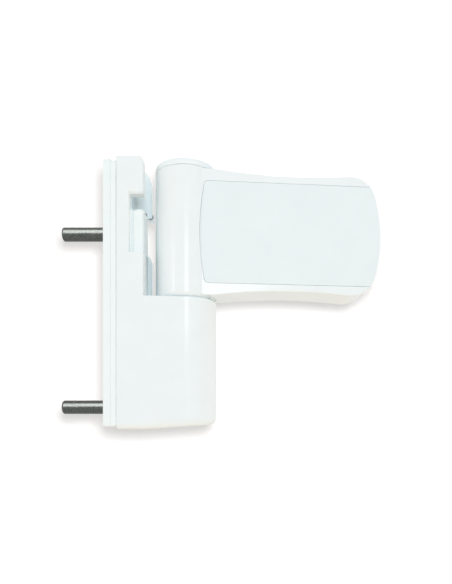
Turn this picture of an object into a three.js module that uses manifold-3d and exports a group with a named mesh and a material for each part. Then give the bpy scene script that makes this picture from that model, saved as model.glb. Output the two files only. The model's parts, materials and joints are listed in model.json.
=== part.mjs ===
// Flag hinge for a PVC-U house door: frame part with barrel housing, and leaf part with knuckle and cover.
// Millimetres. +Z runs up the hinge axis and +X from the mounting face to the axis. The origin is on the
// mounting face, midway between the two support pins. The leaf stands a little short of a right angle.
import * as THREE from 'three';
import { mergeVertices } from 'three/addons/utils/BufferGeometryUtils.js';
import Module from 'manifold-3d';

const wasm = await Module();
wasm.setup();

// Driving dimensions of the frame part
const axisReach = 27.6;           // mounting face to hinge axis
const barrelRadius = 11;          // outside of housing and knuckle
const supportPinSpacing = 63.2;   // between the axes of the two support pins
const castingAbovePin = 23.7;     // axis of the upper support pin to the top of the casting
const castingBelowPin = 7.95;     // axis of the lower support pin to the foot of the casting
const housingHeight = 46.4;       // foot of the casting to the top of the barrel housing
const packerThickness = 2.45;
const basePlateThickness = 1.85;
const stripSeam = 0.12;           // joint line between packer, base plate and casting
const stripSetback = 0.9;         // packer and base plate are this much shorter at each end
const stripBevel = 0.35;
const stripCorner = 1;
const channelReach = 9.39;        // base plate to the free edge of the channel walls
const channelDepth = 6.6;         // free edge of the walls to the web
const channelWall = 4.3;
const footFillet = 2.3;
const footRise = 1.6;             // the foot slopes up by this much under the barrel
const nearCorner = 1.7;           // rounded-off top corner of the near wall
const farWallRise = 2.4;          // the far wall stands this much higher
const farCornerLength = 3.4;      // rounded-off top corner of the far wall, along X
const farCornerHeight = 7.2;
const notchDepth = 4.77;          // cut into the free edge of the near wall
const notchRise = 15.3;           // top of the housing to the floor of the near notch
const notchHeight = 20.04;
const farNotchDepth = 2.26;
const farNotchRise = 1.3;         // floor of the near notch to the lip of the far one
const farNotchSlant = 4.25;       // its floor climbs by this much towards the web
const farNotchHeight = 17.9;      // floor of the near notch to the top of the far one
const eyeRadius = 1.1;            // small eye at the top of the far notch
const eyeHoleRadius = 0.5;
const eyeOffset = 0.4;            // its axis, in from the free edge and up from the notch
const eyeInset = 0.2;             // its ends stand back from the faces of the wall
const fixingHoleRadius = 2.3;     // holes for the screws into the door frame
const fixingHeadRadius = 4.2;
const lowerFixingRise = 6.4;      // top of the housing to the lower fixing hole
const upperFixingRise = 11.6;     // upper support pin to the upper fixing hole

// Support pins and the screws behind the packer
const supportPinRadius = 2.5;
const supportPinReach = 17.4;     // stands out of the mounting face
const supportPinSocket = 7.2;     // length held in the casting
const supportPinRound = 0.7;
const pinBossWall = 2.1;          // round the upper pin, on the web
const pinBossEnd = 0.8;           // closes the boss in front of the pin
const baseScrewRadius = 1.5;
const baseScrewHeadRadius = 2.8;
const baseScrewHeadHeight = 1.3;
const baseScrewLength = 4;
const baseScrewDrop = 4.9;        // top of the casting to the upper screw
const lowerBaseScrewRise = 21;    // foot of the casting to the lower screw

// Strip that covers the screws in the channel
const insertThickness = 4.05;
const insertWidth = 6.4;
const insertRound = 1.9;
const insertSetback = 0.31;       // behind the free edge of the channel walls
const insertRise = 30.6;          // length of the strip
const insertLegThickness = 1.2;
const insertLegInset = 0.3;       // the leg stands back from the round side of the strip

// Eccentric bush, liner, pin and height adjustment
const eccentricity = 0.8;
const hingePinRadius = 5;
const hingePinChamfer = 0.8;
const linerWall = 1.1;
const bushWall = 2;
const spannerSlotWidth = 2.4;
const spannerSlotDepth = 1.8;
const thrustPadRadius = 4;
const thrustPadThickness = 1.7;
const heightScrewRadius = 3.9;
const heightScrewLength = 13.2;
const heightSocketWidth = 4;      // across flats
const heightSocketDepth = 4.5;
const bottomCapRadius = 6.2;
const bottomCapThickness = 1.9;
const bottomCapStem = 1.2;
const lockScrewRadius = 2;
const lockScrewDrop = 13;         // top of the housing to the lock screw
const lockScrewRecess = 0.4;
const lockSocketWidth = 2;
const lockSocketDepth = 1.4;

// Knuckle and leaf. The leaf's own frame has its origin on the hinge axis and +X along the leaf.
const leafAngle = 5.6;            // degrees, about the hinge axis
const knuckleHeight = 45.3;
const knuckleRoof = 1.3;          // web between pin seat and top cap
const knuckleBushWall = 2.35;
const knuckleFlangeWidth = 1.7;
const knuckleFlangeThickness = 1.6;
const lowerBushHeight = 13;
const upperBushHeight = 14;
const pinSeatThickness = 1.8;
const capHeight = 2.4;
const capRim = 0.8;               // straight side of the cap, below its rounding
const capRounding = 1.3;
const capCrown = 0.1;             // the top of the cap rises this much to its middle
const capPlugRadius = 7.6;
const capPlugDepth = 1.5;
const leafLength = 70.2;          // hinge axis to the end of the leaf
const leafFront = 9.4;            // hinge axis plane to the front face
const leafBack = 5.8;             // hinge axis plane to the back face
const leafRootReach = 9.4;        // hinge axis to where the waist begins
const leafRootHalf = 22.35;       // half height at the knuckle
const leafWaistHalf = 20.45;
const leafTipHalf = 21.4;
const leafEndHalf = 14;           // half height of the bowed end
const leafEndRadius = 52;
const leafCornerReach = 7.6;
const leafBevelDepth = 1.2;       // rounding of the front edge, along the thickness
const leafBevelRise = 0.8;
const coverHalf = 17.95;          // half height of the cover plate
const coverThickness = 2.3;
const coverCorner = 1.5;
const coverCornerLean = 1 / 6;    // of the corner, by which the bowed edge leans in at its ends
const coverStart = 4.87;          // hinge axis to the bowed inner edge of the cover
const coverBow = 1.8;
const coverEndInset = 0.15;
const coverEdgeBevel = 0.35;
const coverLedge = 1.6;           // rim that the cover rests on
const clipWidth = 5;
const clipThickness = 1.5;
const clipLength = 4;
const clipInset = 12;             // from the ends of the pocket to the clips
const pocketStart = 11.6;
const endWall = 3;
const webFront = 1;               // hinge axis plane to the front of the web, behind it
const plateRecess = 3;            // depth of the recess for the door plate

// Door plate and side adjustment
const lateralTravel = 3;
const plateLength = 46.5;
const plateHalf = 16.5;
const plateThickness = 2.9;
const plateCorner = 3;
const plateStandout = 0.2;        // proud of the leaf's back, so that the plate meets the door
const plateMiddle = 39.2;         // hinge axis to the middle of the plate
const doorHoleRadius = 2.3;
const doorHoleSpread = 17.4;      // from the middle of the plate, along the leaf
const doorHoleRise = 11.5;        // from the middle of the leaf, up and down
const driverRadius = 4;           // opening in the web for a screw head and its driver
const lugLength = 7;
const lugHalf = 4;
const lugWall = 1.2;              // in front of the lateral screw
const lateralScrewRadius = 2.5;
const lateralScrewOffset = 2.8;   // in front of the hinge axis plane
const lateralThreadLength = 26;
const lateralHeadRadius = 3.5;
const lateralHeadLength = 3.2;
const lateralSocketWidth = 3;
const lateralSocketDepth = 2;
const bearingThickness = 2.8;
const bearingStandoff = 10.9;     // end of the lug's travel to the outer face of the bearing
const bearingHalf = 5.2;
const circlipThickness = 0.8;
const circlipRadius = 3.4;
const circlipGrooveDepth = 0.6;
const clampScrewRadius = 2.4;
const clampHeadRadius = 4.2;
const clampHeadHeight = 2.3;
const clampSocketWidth = 4;
const clampSocketDepth = 1.3;
const washerRadius = 4.5;
const washerThickness = 0.9;

// Clearances
const seatGap = 0.3;              // between a piece and what it is seated on
const runningGap = 0.15;          // round a turning or sliding fit
const knuckleGap = 0.3;           // housing to knuckle

// Facets
const barrelFacets = 56;
const boreFacets = 40;
const smallFacets = 20;
const cornerSteps = 2;            // per 45 degrees of a drawn arc
const curveSteps = 6;
const barrelSteps = 13;
const bevelSteps = 2;
const capSteps = 3;
const overshoot = 1;              // how far a cutter reaches past the face that it cuts

// Places that follow from the dimensions above
const upperPinZ = supportPinSpacing / 2;
const lowerPinZ = -upperPinZ;
const castingTop = upperPinZ + castingAbovePin;
const castingFoot = lowerPinZ - castingBelowPin;
const housingTop = castingFoot + housingHeight;
const basePlateBack = packerThickness + stripSeam;
const castingBack = basePlateBack + basePlateThickness + stripSeam;
const channelEdge = castingBack + channelReach;
const webFace = channelEdge - channelDepth;
const channelHalf = barrelRadius - channelWall;
const farWallTop = castingTop + farWallRise;
const notchFloor = housingTop + notchRise;
const farNotchTop = notchFloor + farNotchHeight;
const barrelEnd = axisReach + barrelRadius;
const insertFront = channelEdge - insertSetback;
const insertBack = insertFront - insertThickness;
const bossFace = insertBack - seatGap;
const upperPinSocket = bossFace - pinBossEnd - seatGap - castingBack;
const bushAxisY = -eccentricity;
const linerBore = hingePinRadius + runningGap;
const linerRadius = linerBore + linerWall;
const bushBore = linerRadius + runningGap;
const bushRadius = bushBore + bushWall;
const housingBore = bushRadius + runningGap;
const bottomCapFoot = castingFoot + footRise;
const capSeatZ = bottomCapFoot + bottomCapThickness + seatGap;
const heightScrewFoot = capSeatZ + bottomCapStem + seatGap;
const heightScrewTop = heightScrewFoot + heightScrewLength;
const bushTop = housingTop - seatGap;
const bushFoot = heightScrewTop;
const bushHeight = bushTop - bushFoot;
const housingBoreFoot = bushFoot - seatGap;
const thrustPadFoot = heightScrewTop + seatGap;
const hingePinFoot = thrustPadFoot + thrustPadThickness + seatGap;
const knuckleFoot = housingTop + knuckleGap;
const knuckleTop = knuckleFoot + knuckleHeight;
const leafMiddle = knuckleFoot + knuckleHeight / 2;
const knuckleBushRadius = linerBore + knuckleBushWall;
const knuckleBore = knuckleBushRadius + seatGap;
const capPlugFoot = knuckleTop + seatGap - capPlugDepth;
const roofTop = capPlugFoot - seatGap;
const roofFoot = roofTop - knuckleRoof;
const pinSeatFoot = roofFoot - seatGap - pinSeatThickness;
const hingePinTop = pinSeatFoot - seatGap;
const upperBushTop = pinSeatFoot - seatGap;
const leafEndCentre = leafLength - leafEndRadius;
const coverBack = leafFront - coverThickness;
const pocketHalf = coverHalf - coverLedge;
const pocketEnd = leafLength - endWall;
const webBack = leafBack - plateRecess;
const plateFront = leafBack + plateStandout - plateThickness;
const lugReach = lateralScrewOffset + lateralScrewRadius + runningGap + lugWall;
const bearingEnd = plateMiddle + lugLength / 2 + lateralTravel + bearingStandoff;
const lateralHeadStart = bearingEnd + seatGap;
const circlipStart = bearingEnd - bearingThickness - seatGap - circlipThickness;
const washerBack = webFront - seatGap;
const clampHeadBack = washerBack - washerThickness - seatGap;

const X = new THREE.Vector3(1, 0, 0);
const Y = new THREE.Vector3(0, 1, 0);
const Z = new THREE.Vector3(0, 0, 1);

// Materials
const finishes = {
  whiteCoat: new THREE.MeshStandardMaterial({ color: 0xeef2f1, roughness: 0.25, metalness: 0 }),
  whitePlastic: new THREE.MeshStandardMaterial({ color: 0xf0f3f2, roughness: 0.3, metalness: 0 }),
  steel: new THREE.MeshStandardMaterial({ color: 0x9a9c9b, roughness: 0.4, metalness: 1 }),
  zinc: new THREE.MeshStandardMaterial({ color: 0xb9bcbc, roughness: 0.45, metalness: 1 }),
  acetal: new THREE.MeshStandardMaterial({ color: 0xd8d6cc, roughness: 0.5, metalness: 0 }),
};

// From a closed three.js mesh to a solid that can be cut and joined, and back
function solid(geometry) {
  const plain = geometry.clone();
  plain.deleteAttribute('normal');
  plain.deleteAttribute('uv');
  const merged = mergeVertices(plain, 1e-5);
  const mesh = new wasm.Mesh({
    numProp: 3,
    vertProperties: new Float32Array(merged.attributes.position.array),
    triVerts: new Uint32Array(merged.index.array),
  });
  return new wasm.Manifold(mesh);
}

function surface(body) {
  const mesh = body.getMesh();
  const geometry = new THREE.BufferGeometry();
  geometry.setAttribute('position', new THREE.BufferAttribute(new Float32Array(mesh.vertProperties), 3));
  geometry.setIndex(new THREE.BufferAttribute(new Uint32Array(mesh.triVerts), 1));
  geometry.computeVertexNormals();
  return geometry;
}

function join(...bodies) {
  return bodies.reduce((whole, body) => whole.add(body));
}

function cut(body, ...tools) {
  return tools.reduce((rest, tool) => rest.subtract(tool), body);
}

// Basic solids. The corners of a block take its bounds as they are, so that equal bounds meet exactly.
function block(x0, x1, y0, y1, z0, z1) {
  const geometry = new THREE.BoxGeometry(2, 2, 2);
  const corners = geometry.attributes.position;
  for (let i = 0; i < corners.count; i += 1) {
    const x = corners.getX(i) < 0 ? x0 : x1;
    const y = corners.getY(i) < 0 ? y0 : y1;
    const z = corners.getZ(i) < 0 ? z0 : z1;
    corners.setXYZ(i, x, y, z);
  }
  return solid(geometry);
}

// A round bar from start, along one of the axes
function bar(radius, length, start, along = Z, facets = smallFacets) {
  const geometry = new THREE.CylinderGeometry(radius, radius, length, facets).translate(0, length / 2, 0);
  geometry.applyQuaternion(new THREE.Quaternion().setFromUnitVectors(Y, along));
  return solid(geometry.translate(...start));
}

function cone(startRadius, endRadius, length, start, along, facets = smallFacets) {
  const geometry = new THREE.CylinderGeometry(endRadius, startRadius, length, facets);
  geometry.translate(0, length / 2, 0);
  geometry.applyQuaternion(new THREE.Quaternion().setFromUnitVectors(Y, along));
  return solid(geometry.translate(...start));
}

function hexSocket(width, depth, start, along) {
  return bar(width / Math.sqrt(3), depth, start, along, 6);
}

// A turned piece: pairs of radius and height, about a Z axis through x, y
function turned(profile, x = 0, y = 0, facets = boreFacets) {
  const points = profile.map(([radius, height]) => new THREE.Vector2(radius, height));
  const geometry = new THREE.LatheGeometry(points, facets);
  return solid(geometry.rotateX(Math.PI / 2).translate(x, y, 0));
}

function sleeve(inner, outer, foot, top, x = 0, y = 0) {
  return turned([[inner, foot], [outer, foot], [outer, top], [inner, top], [inner, foot]], x, y);
}

// A profile drawn in two axes and drawn out along the third, with an optional bevel at both ends
function drawnOut(shape, axes, start, end, { steps = cornerSteps, bevel = 0, inset = bevel } = {}) {
  const geometry = new THREE.ExtrudeGeometry(shape, {
    depth: end - start - 2 * bevel,
    curveSegments: steps,
    bevelEnabled: bevel > 0,
    bevelThickness: bevel,
    bevelSize: inset,
    bevelOffset: -inset,
    bevelSegments: bevelSteps,
  });
  geometry.translate(0, 0, start + bevel);
  geometry.applyMatrix4(new THREE.Matrix4().makeBasis(...axes));
  return solid(geometry);
}

const plan = [X, Y, Z];                    // drawn in XY, drawn out along Z
const acrossX = [Y, Z, X];                 // drawn in YZ, drawn out along X
const acrossY = [X, Z, Y.clone().negate()]; // drawn in XZ, drawn out along -Y: distances count forwards

function roundedRectangle(x0, x1, y0, y1, corner) {
  const shape = new THREE.Shape();
  shape.moveTo(x0 + corner, y0);
  shape.lineTo(x1 - corner, y0);
  shape.absarc(x1 - corner, y0 + corner, corner, -Math.PI / 2, 0);
  shape.lineTo(x1, y1 - corner);
  shape.absarc(x1 - corner, y1 - corner, corner, 0, Math.PI / 2);
  shape.lineTo(x0 + corner, y1);
  shape.absarc(x0 + corner, y1 - corner, corner, Math.PI / 2, Math.PI);
  shape.lineTo(x0, y0 + corner);
  shape.absarc(x0 + corner, y0 + corner, corner, Math.PI, Math.PI * 1.5);
  return shape;
}

// A slot that runs along the first axis of the drawing, with two round ends
function slotOutline(x0, x1, z, radius) {
  const shape = new THREE.Shape();
  shape.absarc(x0, z, radius, Math.PI / 2, Math.PI * 1.5);
  shape.absarc(x1, z, radius, -Math.PI / 2, Math.PI / 2);
  shape.closePath();
  return shape;
}

// A slot with one round end, open towards negative first axis
function openSlotOutline(x, openX, z, radius) {
  const shape = new THREE.Shape();
  shape.absarc(x, z, radius, -Math.PI / 2, Math.PI / 2);
  shape.lineTo(openX, z + radius);
  shape.lineTo(openX, z - radius);
  shape.closePath();
  return shape;
}

// Frame part
const fixingHoles = [housingTop + lowerFixingRise, upperPinZ + upperFixingRise];
const baseScrewPlaces = [castingTop - baseScrewDrop, castingFoot + lowerBaseScrewRise];
const supportPins = [
  { name: 'support_pin_upper', z: upperPinZ, socket: upperPinSocket },
  { name: 'support_pin_lower', z: lowerPinZ, socket: supportPinSocket },
];

function stripOutline() {
  return roundedRectangle(-barrelRadius, barrelRadius, castingFoot + stripSetback,
    castingTop - stripSetback, stripCorner);
}

function framePacker() {
  const plate = drawnOut(stripOutline(), acrossX, 0, packerThickness, { bevel: stripBevel });
  const holes = [
    ...supportPins.map(({ z }) => bar(supportPinRadius + runningGap, packerThickness + 2 * overshoot,
      [-overshoot, 0, z], X)),
    ...fixingHoles.map((z) => bar(fixingHoleRadius, packerThickness + 2 * overshoot, [-overshoot, 0, z], X)),
  ];
  return cut(plate, ...holes);
}

function basePlate() {
  const plateFace = basePlateBack + basePlateThickness;
  const plate = drawnOut(stripOutline(), acrossX, basePlateBack, plateFace, { bevel: stripBevel });
  const start = basePlateBack - overshoot;
  const length = basePlateThickness + 2 * overshoot;
  const holes = [
    ...supportPins.map(({ z }) => bar(supportPinRadius + runningGap, length, [start, 0, z], X)),
    ...fixingHoles.map((z) => bar(fixingHoleRadius, length, [start, 0, z], X)),
    ...baseScrewPlaces.map((z) => bar(baseScrewRadius + runningGap, length, [start, 0, z], X)),
    ...baseScrewPlaces.map((z) => baseScrewHead(z, runningGap)),
    ...baseScrewPlaces.map((z) => bar(baseScrewHeadRadius + runningGap, overshoot, [start, 0, z], X)),
  ];
  return cut(plate, ...holes);
}

// Countersunk head, with its flat face level with the back of the base plate
function baseScrewHead(z, gap = 0) {
  return cone(baseScrewHeadRadius + gap, baseScrewRadius + gap, baseScrewHeadHeight, [basePlateBack, 0, z], X);
}

function baseScrew(z) {
  const shank = bar(baseScrewRadius, baseScrewLength, [basePlateBack, 0, z], X);
  const socket = hexSocket(baseScrewRadius, baseScrewHeadHeight / 2 + overshoot,
    [basePlateBack - overshoot, 0, z], X);
  return cut(join(shank, baseScrewHead(z)), socket);
}

function supportPin(z, socket) {
  const end = castingBack + socket;
  const length = supportPinReach + end;
  const corner = supportPinRound * (1 - Math.SQRT1_2);
  const profile = [
    [0, 0],
    [supportPinRadius - supportPinRound, 0],
    [supportPinRadius - corner, corner],
    [supportPinRadius, supportPinRound],
    [supportPinRadius, length - supportPinRound],
    [supportPinRadius - corner, length - corner],
    [supportPinRadius - supportPinRound, length],
    [0, length],
  ];
  const points = profile.map(([radius, height]) => new THREE.Vector2(radius, height));
  const geometry = new THREE.LatheGeometry(points, smallFacets);
  geometry.applyQuaternion(new THREE.Quaternion().setFromUnitVectors(Y, X));
  return solid(geometry.translate(-supportPinReach, 0, z));
}

// What lies under the sloping foot
function footWedge() {
  const slope = footRise / (barrelEnd - channelEdge);
  const shape = new THREE.Shape();
  shape.moveTo(channelEdge - overshoot, castingFoot - slope * overshoot);
  shape.lineTo(barrelEnd + overshoot, bottomCapFoot + slope * overshoot);
  shape.lineTo(barrelEnd + overshoot, castingFoot - overshoot);
  shape.closePath();
  return drawnOut(shape, acrossY, -barrelRadius - overshoot, barrelRadius + overshoot);
}

// Flat sides that run into the barrel, with a rounded foot; the barrel ends at the top of the housing
function castingBlock() {
  const outline = new THREE.Shape();
  outline.moveTo(castingBack, -barrelRadius);
  outline.lineTo(axisReach, -barrelRadius);
  outline.absarc(axisReach, 0, barrelRadius, -Math.PI / 2, Math.PI / 2);
  outline.lineTo(castingBack, barrelRadius);
  outline.closePath();
  const overlong = drawnOut(outline, plan, castingFoot, farWallTop + 2 * footFillet,
    { steps: barrelSteps, bevel: footFillet });
  const side = barrelRadius + overshoot;
  const end = barrelEnd + overshoot;
  const above = farWallTop + 3 * footFillet;
  const aboveCasting = block(0, end, -side, channelHalf, castingTop, above);
  const aboveFarWall = block(0, end, 0, side, farWallTop, above);
  const aboveHousing = block(channelEdge, end, -side, side, housingTop, above);
  return cut(overlong, aboveCasting, aboveFarWall, aboveHousing, footWedge());
}

// Space between the two walls of the channel
function channelSpace() {
  return block(webFace, channelEdge + overshoot, -channelHalf, channelHalf,
    housingTop, farWallTop + overshoot);
}

function nearNotch() {
  return block(channelEdge - notchDepth, channelEdge + overshoot, -barrelRadius - overshoot,
    -channelHalf + overshoot, notchFloor, notchFloor + notchHeight);
}

// Square at the top, with a slanted floor
function farNotch() {
  const start = channelEdge - farNotchDepth;
  const end = channelEdge + overshoot;
  const lip = notchFloor + farNotchRise;
  const shape = new THREE.Shape();
  shape.moveTo(start, farNotchTop);
  shape.lineTo(start, lip + farNotchSlant);
  shape.lineTo(end, lip - farNotchSlant * overshoot / farNotchDepth);
  shape.lineTo(end, farNotchTop);
  shape.closePath();
  return drawnOut(shape, acrossY, -barrelRadius - overshoot, -channelHalf + overshoot);
}

function eye(radius, inset) {
  return bar(radius, channelWall - 2 * inset, [channelEdge - eyeOffset, channelHalf + inset,
    farNotchTop + eyeOffset], Y);
}

// What is taken off the top corner of a wall: a block less a quarter of an ellipse
function wallCorner(length, height, top, start, end) {
  const shape = new THREE.Shape();
  const centreX = channelEdge - length;
  const centreZ = top - height;
  shape.moveTo(centreX, top + overshoot);
  shape.lineTo(channelEdge + overshoot, top + overshoot);
  shape.lineTo(channelEdge + overshoot, centreZ);
  shape.absellipse(centreX, centreZ, length, height, 0, Math.PI / 2);
  shape.closePath();
  return drawnOut(shape, acrossY, start, end);
}

function housingBores() {
  const lockStart = bushAxisY + bushRadius;
  return join(
    bar(housingBore, housingTop - housingBoreFoot + overshoot, [axisReach, bushAxisY, housingBoreFoot], Z,
      boreFacets),
    bar(heightScrewRadius + runningGap, housingBoreFoot - castingFoot + overshoot,
      [axisReach, bushAxisY, castingFoot - overshoot / 2], Z, boreFacets),
    bar(bottomCapRadius + runningGap, capSeatZ - castingFoot + overshoot,
      [axisReach, bushAxisY, castingFoot - overshoot], Z, boreFacets),
    bar(lockScrewRadius + runningGap, barrelRadius - lockStart + 2 * overshoot,
      [axisReach, lockStart - overshoot, housingTop - lockScrewDrop], Y),
  );
}

function frameBody() {
  const bossRadius = supportPinRadius + pinBossWall;
  const boss = bar(bossRadius, bossFace - webFace + overshoot, [webFace - overshoot, 0, upperPinZ], X);
  const pinSockets = supportPins.map(({ z, socket }) => bar(supportPinRadius + runningGap,
    socket + seatGap + overshoot, [castingBack - overshoot, 0, z], X));
  const webLength = webFace - castingBack + 2 * overshoot;
  const screwHoles = fixingHoles.map((z) => bar(fixingHoleRadius, webLength,
    [castingBack - overshoot, 0, z], X));
  const sinkDepth = fixingHeadRadius - fixingHoleRadius;
  const countersinks = fixingHoles.map((z) => cone(fixingHoleRadius, fixingHeadRadius + overshoot,
    sinkDepth + overshoot, [webFace - sinkDepth, 0, z], X));
  const baseThreads = baseScrewPlaces.map((z) => bar(baseScrewRadius + runningGap,
    basePlateBack + baseScrewLength + seatGap - castingBack + overshoot, [castingBack - overshoot, 0, z], X));
  const nearRound = wallCorner(nearCorner, nearCorner, castingTop, channelHalf - overshoot,
    barrelRadius + overshoot);
  const farRound = wallCorner(farCornerLength, farCornerHeight, farWallTop, -barrelRadius - overshoot,
    -channelHalf + overshoot);
  const walls = cut(castingBlock(), channelSpace(), nearNotch(), farNotch(), nearRound, farRound);
  return cut(join(walls, boss, eye(eyeRadius, eyeInset)), eye(eyeHoleRadius, -overshoot), housingBores(),
    ...pinSockets, ...screwHoles, ...countersinks, ...baseThreads);
}

// Round-edged strip along the near wall of the channel, on one leg
function channelInsert() {
  const side = -channelHalf + seatGap;
  const foot = housingTop + seatGap;
  const strip = roundedRectangle(insertBack, insertFront, side, side + insertWidth, insertRound);
  const legSide = side + insertLegInset;
  const leg = block(webFace + seatGap, insertBack + insertThickness / 2, legSide,
    legSide + insertLegThickness, foot, foot + insertRise);
  return join(drawnOut(strip, plan, foot, foot + insertRise), leg);
}

// Adjustment and bearing in the housing
function pressureBush() {
  const outside = bar(bushRadius, bushHeight, [axisReach, bushAxisY, bushFoot], Z, boreFacets);
  const bore = bar(bushBore, bushHeight + 2 * overshoot, [axisReach, 0, bushFoot - overshoot], Z, boreFacets);
  const slots = block(axisReach - 2 * bushRadius, axisReach + 2 * bushRadius,
    bushAxisY - spannerSlotWidth / 2, bushAxisY + spannerSlotWidth / 2,
    bushTop - spannerSlotDepth, bushTop + overshoot);
  return cut(outside, bore, slots);
}

function pinLiner() {
  return sleeve(linerBore, linerRadius, bushFoot, bushTop, axisReach, 0);
}

function bushLockScrew() {
  const start = bushAxisY + bushRadius + seatGap;
  const end = barrelRadius - lockScrewRecess;
  const z = housingTop - lockScrewDrop;
  const screw = bar(lockScrewRadius, end - start, [axisReach, start, z], Y);
  return cut(screw, hexSocket(lockSocketWidth, lockSocketDepth + overshoot,
    [axisReach, end - lockSocketDepth, z], Y));
}

function thrustPad() {
  return bar(thrustPadRadius, thrustPadThickness, [axisReach, bushAxisY, thrustPadFoot], Z, boreFacets);
}

function heightScrew() {
  const screw = bar(heightScrewRadius, heightScrewLength, [axisReach, bushAxisY, heightScrewFoot], Z,
    boreFacets);
  return cut(screw, hexSocket(heightSocketWidth, heightSocketDepth + overshoot,
    [axisReach, bushAxisY, heightScrewFoot - overshoot], Z));
}

function bottomCap() {
  const plate = bar(bottomCapRadius, bottomCapThickness, [axisReach, bushAxisY, bottomCapFoot], Z,
    boreFacets);
  const stem = bar(heightScrewRadius - runningGap, bottomCapThickness + bottomCapStem,
    [axisReach, bushAxisY, bottomCapFoot + seatGap], Z, boreFacets);
  return join(plate, stem);
}

function hingePin() {
  return turned([
    [0, hingePinFoot],
    [hingePinRadius - hingePinChamfer, hingePinFoot],
    [hingePinRadius, hingePinFoot + hingePinChamfer],
    [hingePinRadius, hingePinTop - hingePinChamfer],
    [hingePinRadius - hingePinChamfer, hingePinTop],
    [0, hingePinTop],
  ], axisReach, 0);
}

// Leaf part, in the leaf's own frame
function leafOutline() {
  const endAngle = Math.asin(leafEndHalf / leafEndRadius);
  const endX = leafEndCentre + leafEndRadius * Math.cos(endAngle);
  const cornerX = endX - (leafTipHalf - leafEndHalf) * Math.tan(endAngle);
  const tipX = cornerX - leafCornerReach;
  const waistControl = 2 * leafWaistHalf - (leafRootHalf + leafTipHalf) / 2;
  const shape = new THREE.Shape();
  const waistX = (leafRootReach + tipX) / 2;
  shape.moveTo(0, leafMiddle - leafRootHalf);
  shape.lineTo(leafRootReach, leafMiddle - leafRootHalf);
  shape.quadraticCurveTo(waistX, leafMiddle - waistControl, tipX, leafMiddle - leafTipHalf);
  shape.quadraticCurveTo(cornerX, leafMiddle - leafTipHalf, endX, leafMiddle - leafEndHalf);
  shape.absarc(leafEndCentre, leafMiddle, leafEndRadius, -endAngle, endAngle);
  shape.quadraticCurveTo(cornerX, leafMiddle + leafTipHalf, tipX, leafMiddle + leafTipHalf);
  shape.quadraticCurveTo(waistX, leafMiddle + waistControl, leafRootReach, leafMiddle + leafRootHalf);
  shape.lineTo(0, leafMiddle + leafRootHalf);
  shape.closePath();
  return shape;
}

// Straight above and below, bowed towards the knuckle, and open past the end of the leaf
function coverOutline(gap) {
  const half = coverHalf + gap;
  const start = coverStart - gap;
  const cornerX = start + coverBow;
  const corner = coverCorner + gap;
  const bowX = cornerX - coverCornerLean * corner;
  const shape = new THREE.Shape();
  const farX = leafLength + 2 * overshoot;
  shape.moveTo(farX, leafMiddle - half);
  shape.lineTo(farX, leafMiddle + half);
  shape.lineTo(cornerX + corner, leafMiddle + half);
  shape.quadraticCurveTo(cornerX, leafMiddle + half, bowX, leafMiddle + half - corner);
  shape.quadraticCurveTo(start - coverBow, leafMiddle, bowX, leafMiddle - half + corner);
  shape.quadraticCurveTo(cornerX, leafMiddle - half, cornerX + corner, leafMiddle - half);
  shape.closePath();
  return shape;
}

// Hollow under the cover, with an even wall along the bowed end
function pocketOutline() {
  const radius = leafEndRadius - endWall;
  const angle = Math.asin(pocketHalf / radius);
  const shape = new THREE.Shape();
  shape.moveTo(pocketStart, leafMiddle + pocketHalf);
  shape.lineTo(pocketStart, leafMiddle - pocketHalf);
  shape.absarc(leafEndCentre, leafMiddle, radius, -angle, angle);
  shape.closePath();
  return shape;
}

// A slot along the leaf, cut through the web, as long as the side adjustment
function webSlot(radius, x, z) {
  const outline = slotOutline(x - lateralTravel, x + lateralTravel, z, radius);
  return drawnOut(outline, acrossY, -webBack - overshoot, -webFront + overshoot, { steps: curveSteps });
}

const clampPlaces = [
  { suffix: 'upper', z: leafMiddle + doorHoleRise },
  { suffix: 'lower', z: leafMiddle - doorHoleRise },
];
const doorHolePlaces = [-doorHoleSpread, doorHoleSpread].flatMap((dx) => [-doorHoleRise, doorHoleRise]
  .map((dz) => ({ x: plateMiddle + dx, z: leafMiddle + dz })));

function leafBody() {
  const flag = drawnOut(leafOutline(), acrossY, -leafBack - leafBevelDepth - overshoot, leafFront,
    { steps: curveSteps, bevel: leafBevelDepth, inset: leafBevelRise });
  const behind = block(-overshoot, leafLength + overshoot, leafBack, leafBack + 3 * leafBevelDepth,
    leafMiddle - 2 * leafRootHalf, leafMiddle + 2 * leafRootHalf);
  const knuckle = bar(barrelRadius, knuckleHeight, [0, 0, knuckleFoot], Z, barrelFacets);
  const recess = drawnOut(coverOutline(seatGap / 2), acrossY, coverBack - seatGap, leafFront + overshoot,
    { steps: curveSteps });
  const pocket = drawnOut(pocketOutline(), acrossY, -webFront, coverBack + overshoot, { steps: curveSteps });
  const recessHalf = plateHalf + seatGap;
  const recessLength = plateLength / 2 + lateralTravel + seatGap;
  const plateSpace = block(plateMiddle - recessLength, plateMiddle + recessLength, webBack,
    leafBack + overshoot, leafMiddle - recessHalf, leafMiddle + recessHalf);
  const bearing = block(bearingEnd - bearingThickness, bearingEnd, -lugReach, webFront + overshoot,
    leafMiddle - bearingHalf, leafMiddle + bearingHalf);
  const shell = join(cut(cut(flag, behind).add(knuckle), recess, pocket, plateSpace), bearing);
  return cut(shell, knuckleBores(), lateralScrewWay(), lugWindow(),
    ...clampPlaces.map(({ z }) => webSlot(clampScrewRadius + seatGap, plateMiddle, z)),
    ...doorHolePlaces.map(({ x, z }) => webSlot(driverRadius, x, z)));
}

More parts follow.
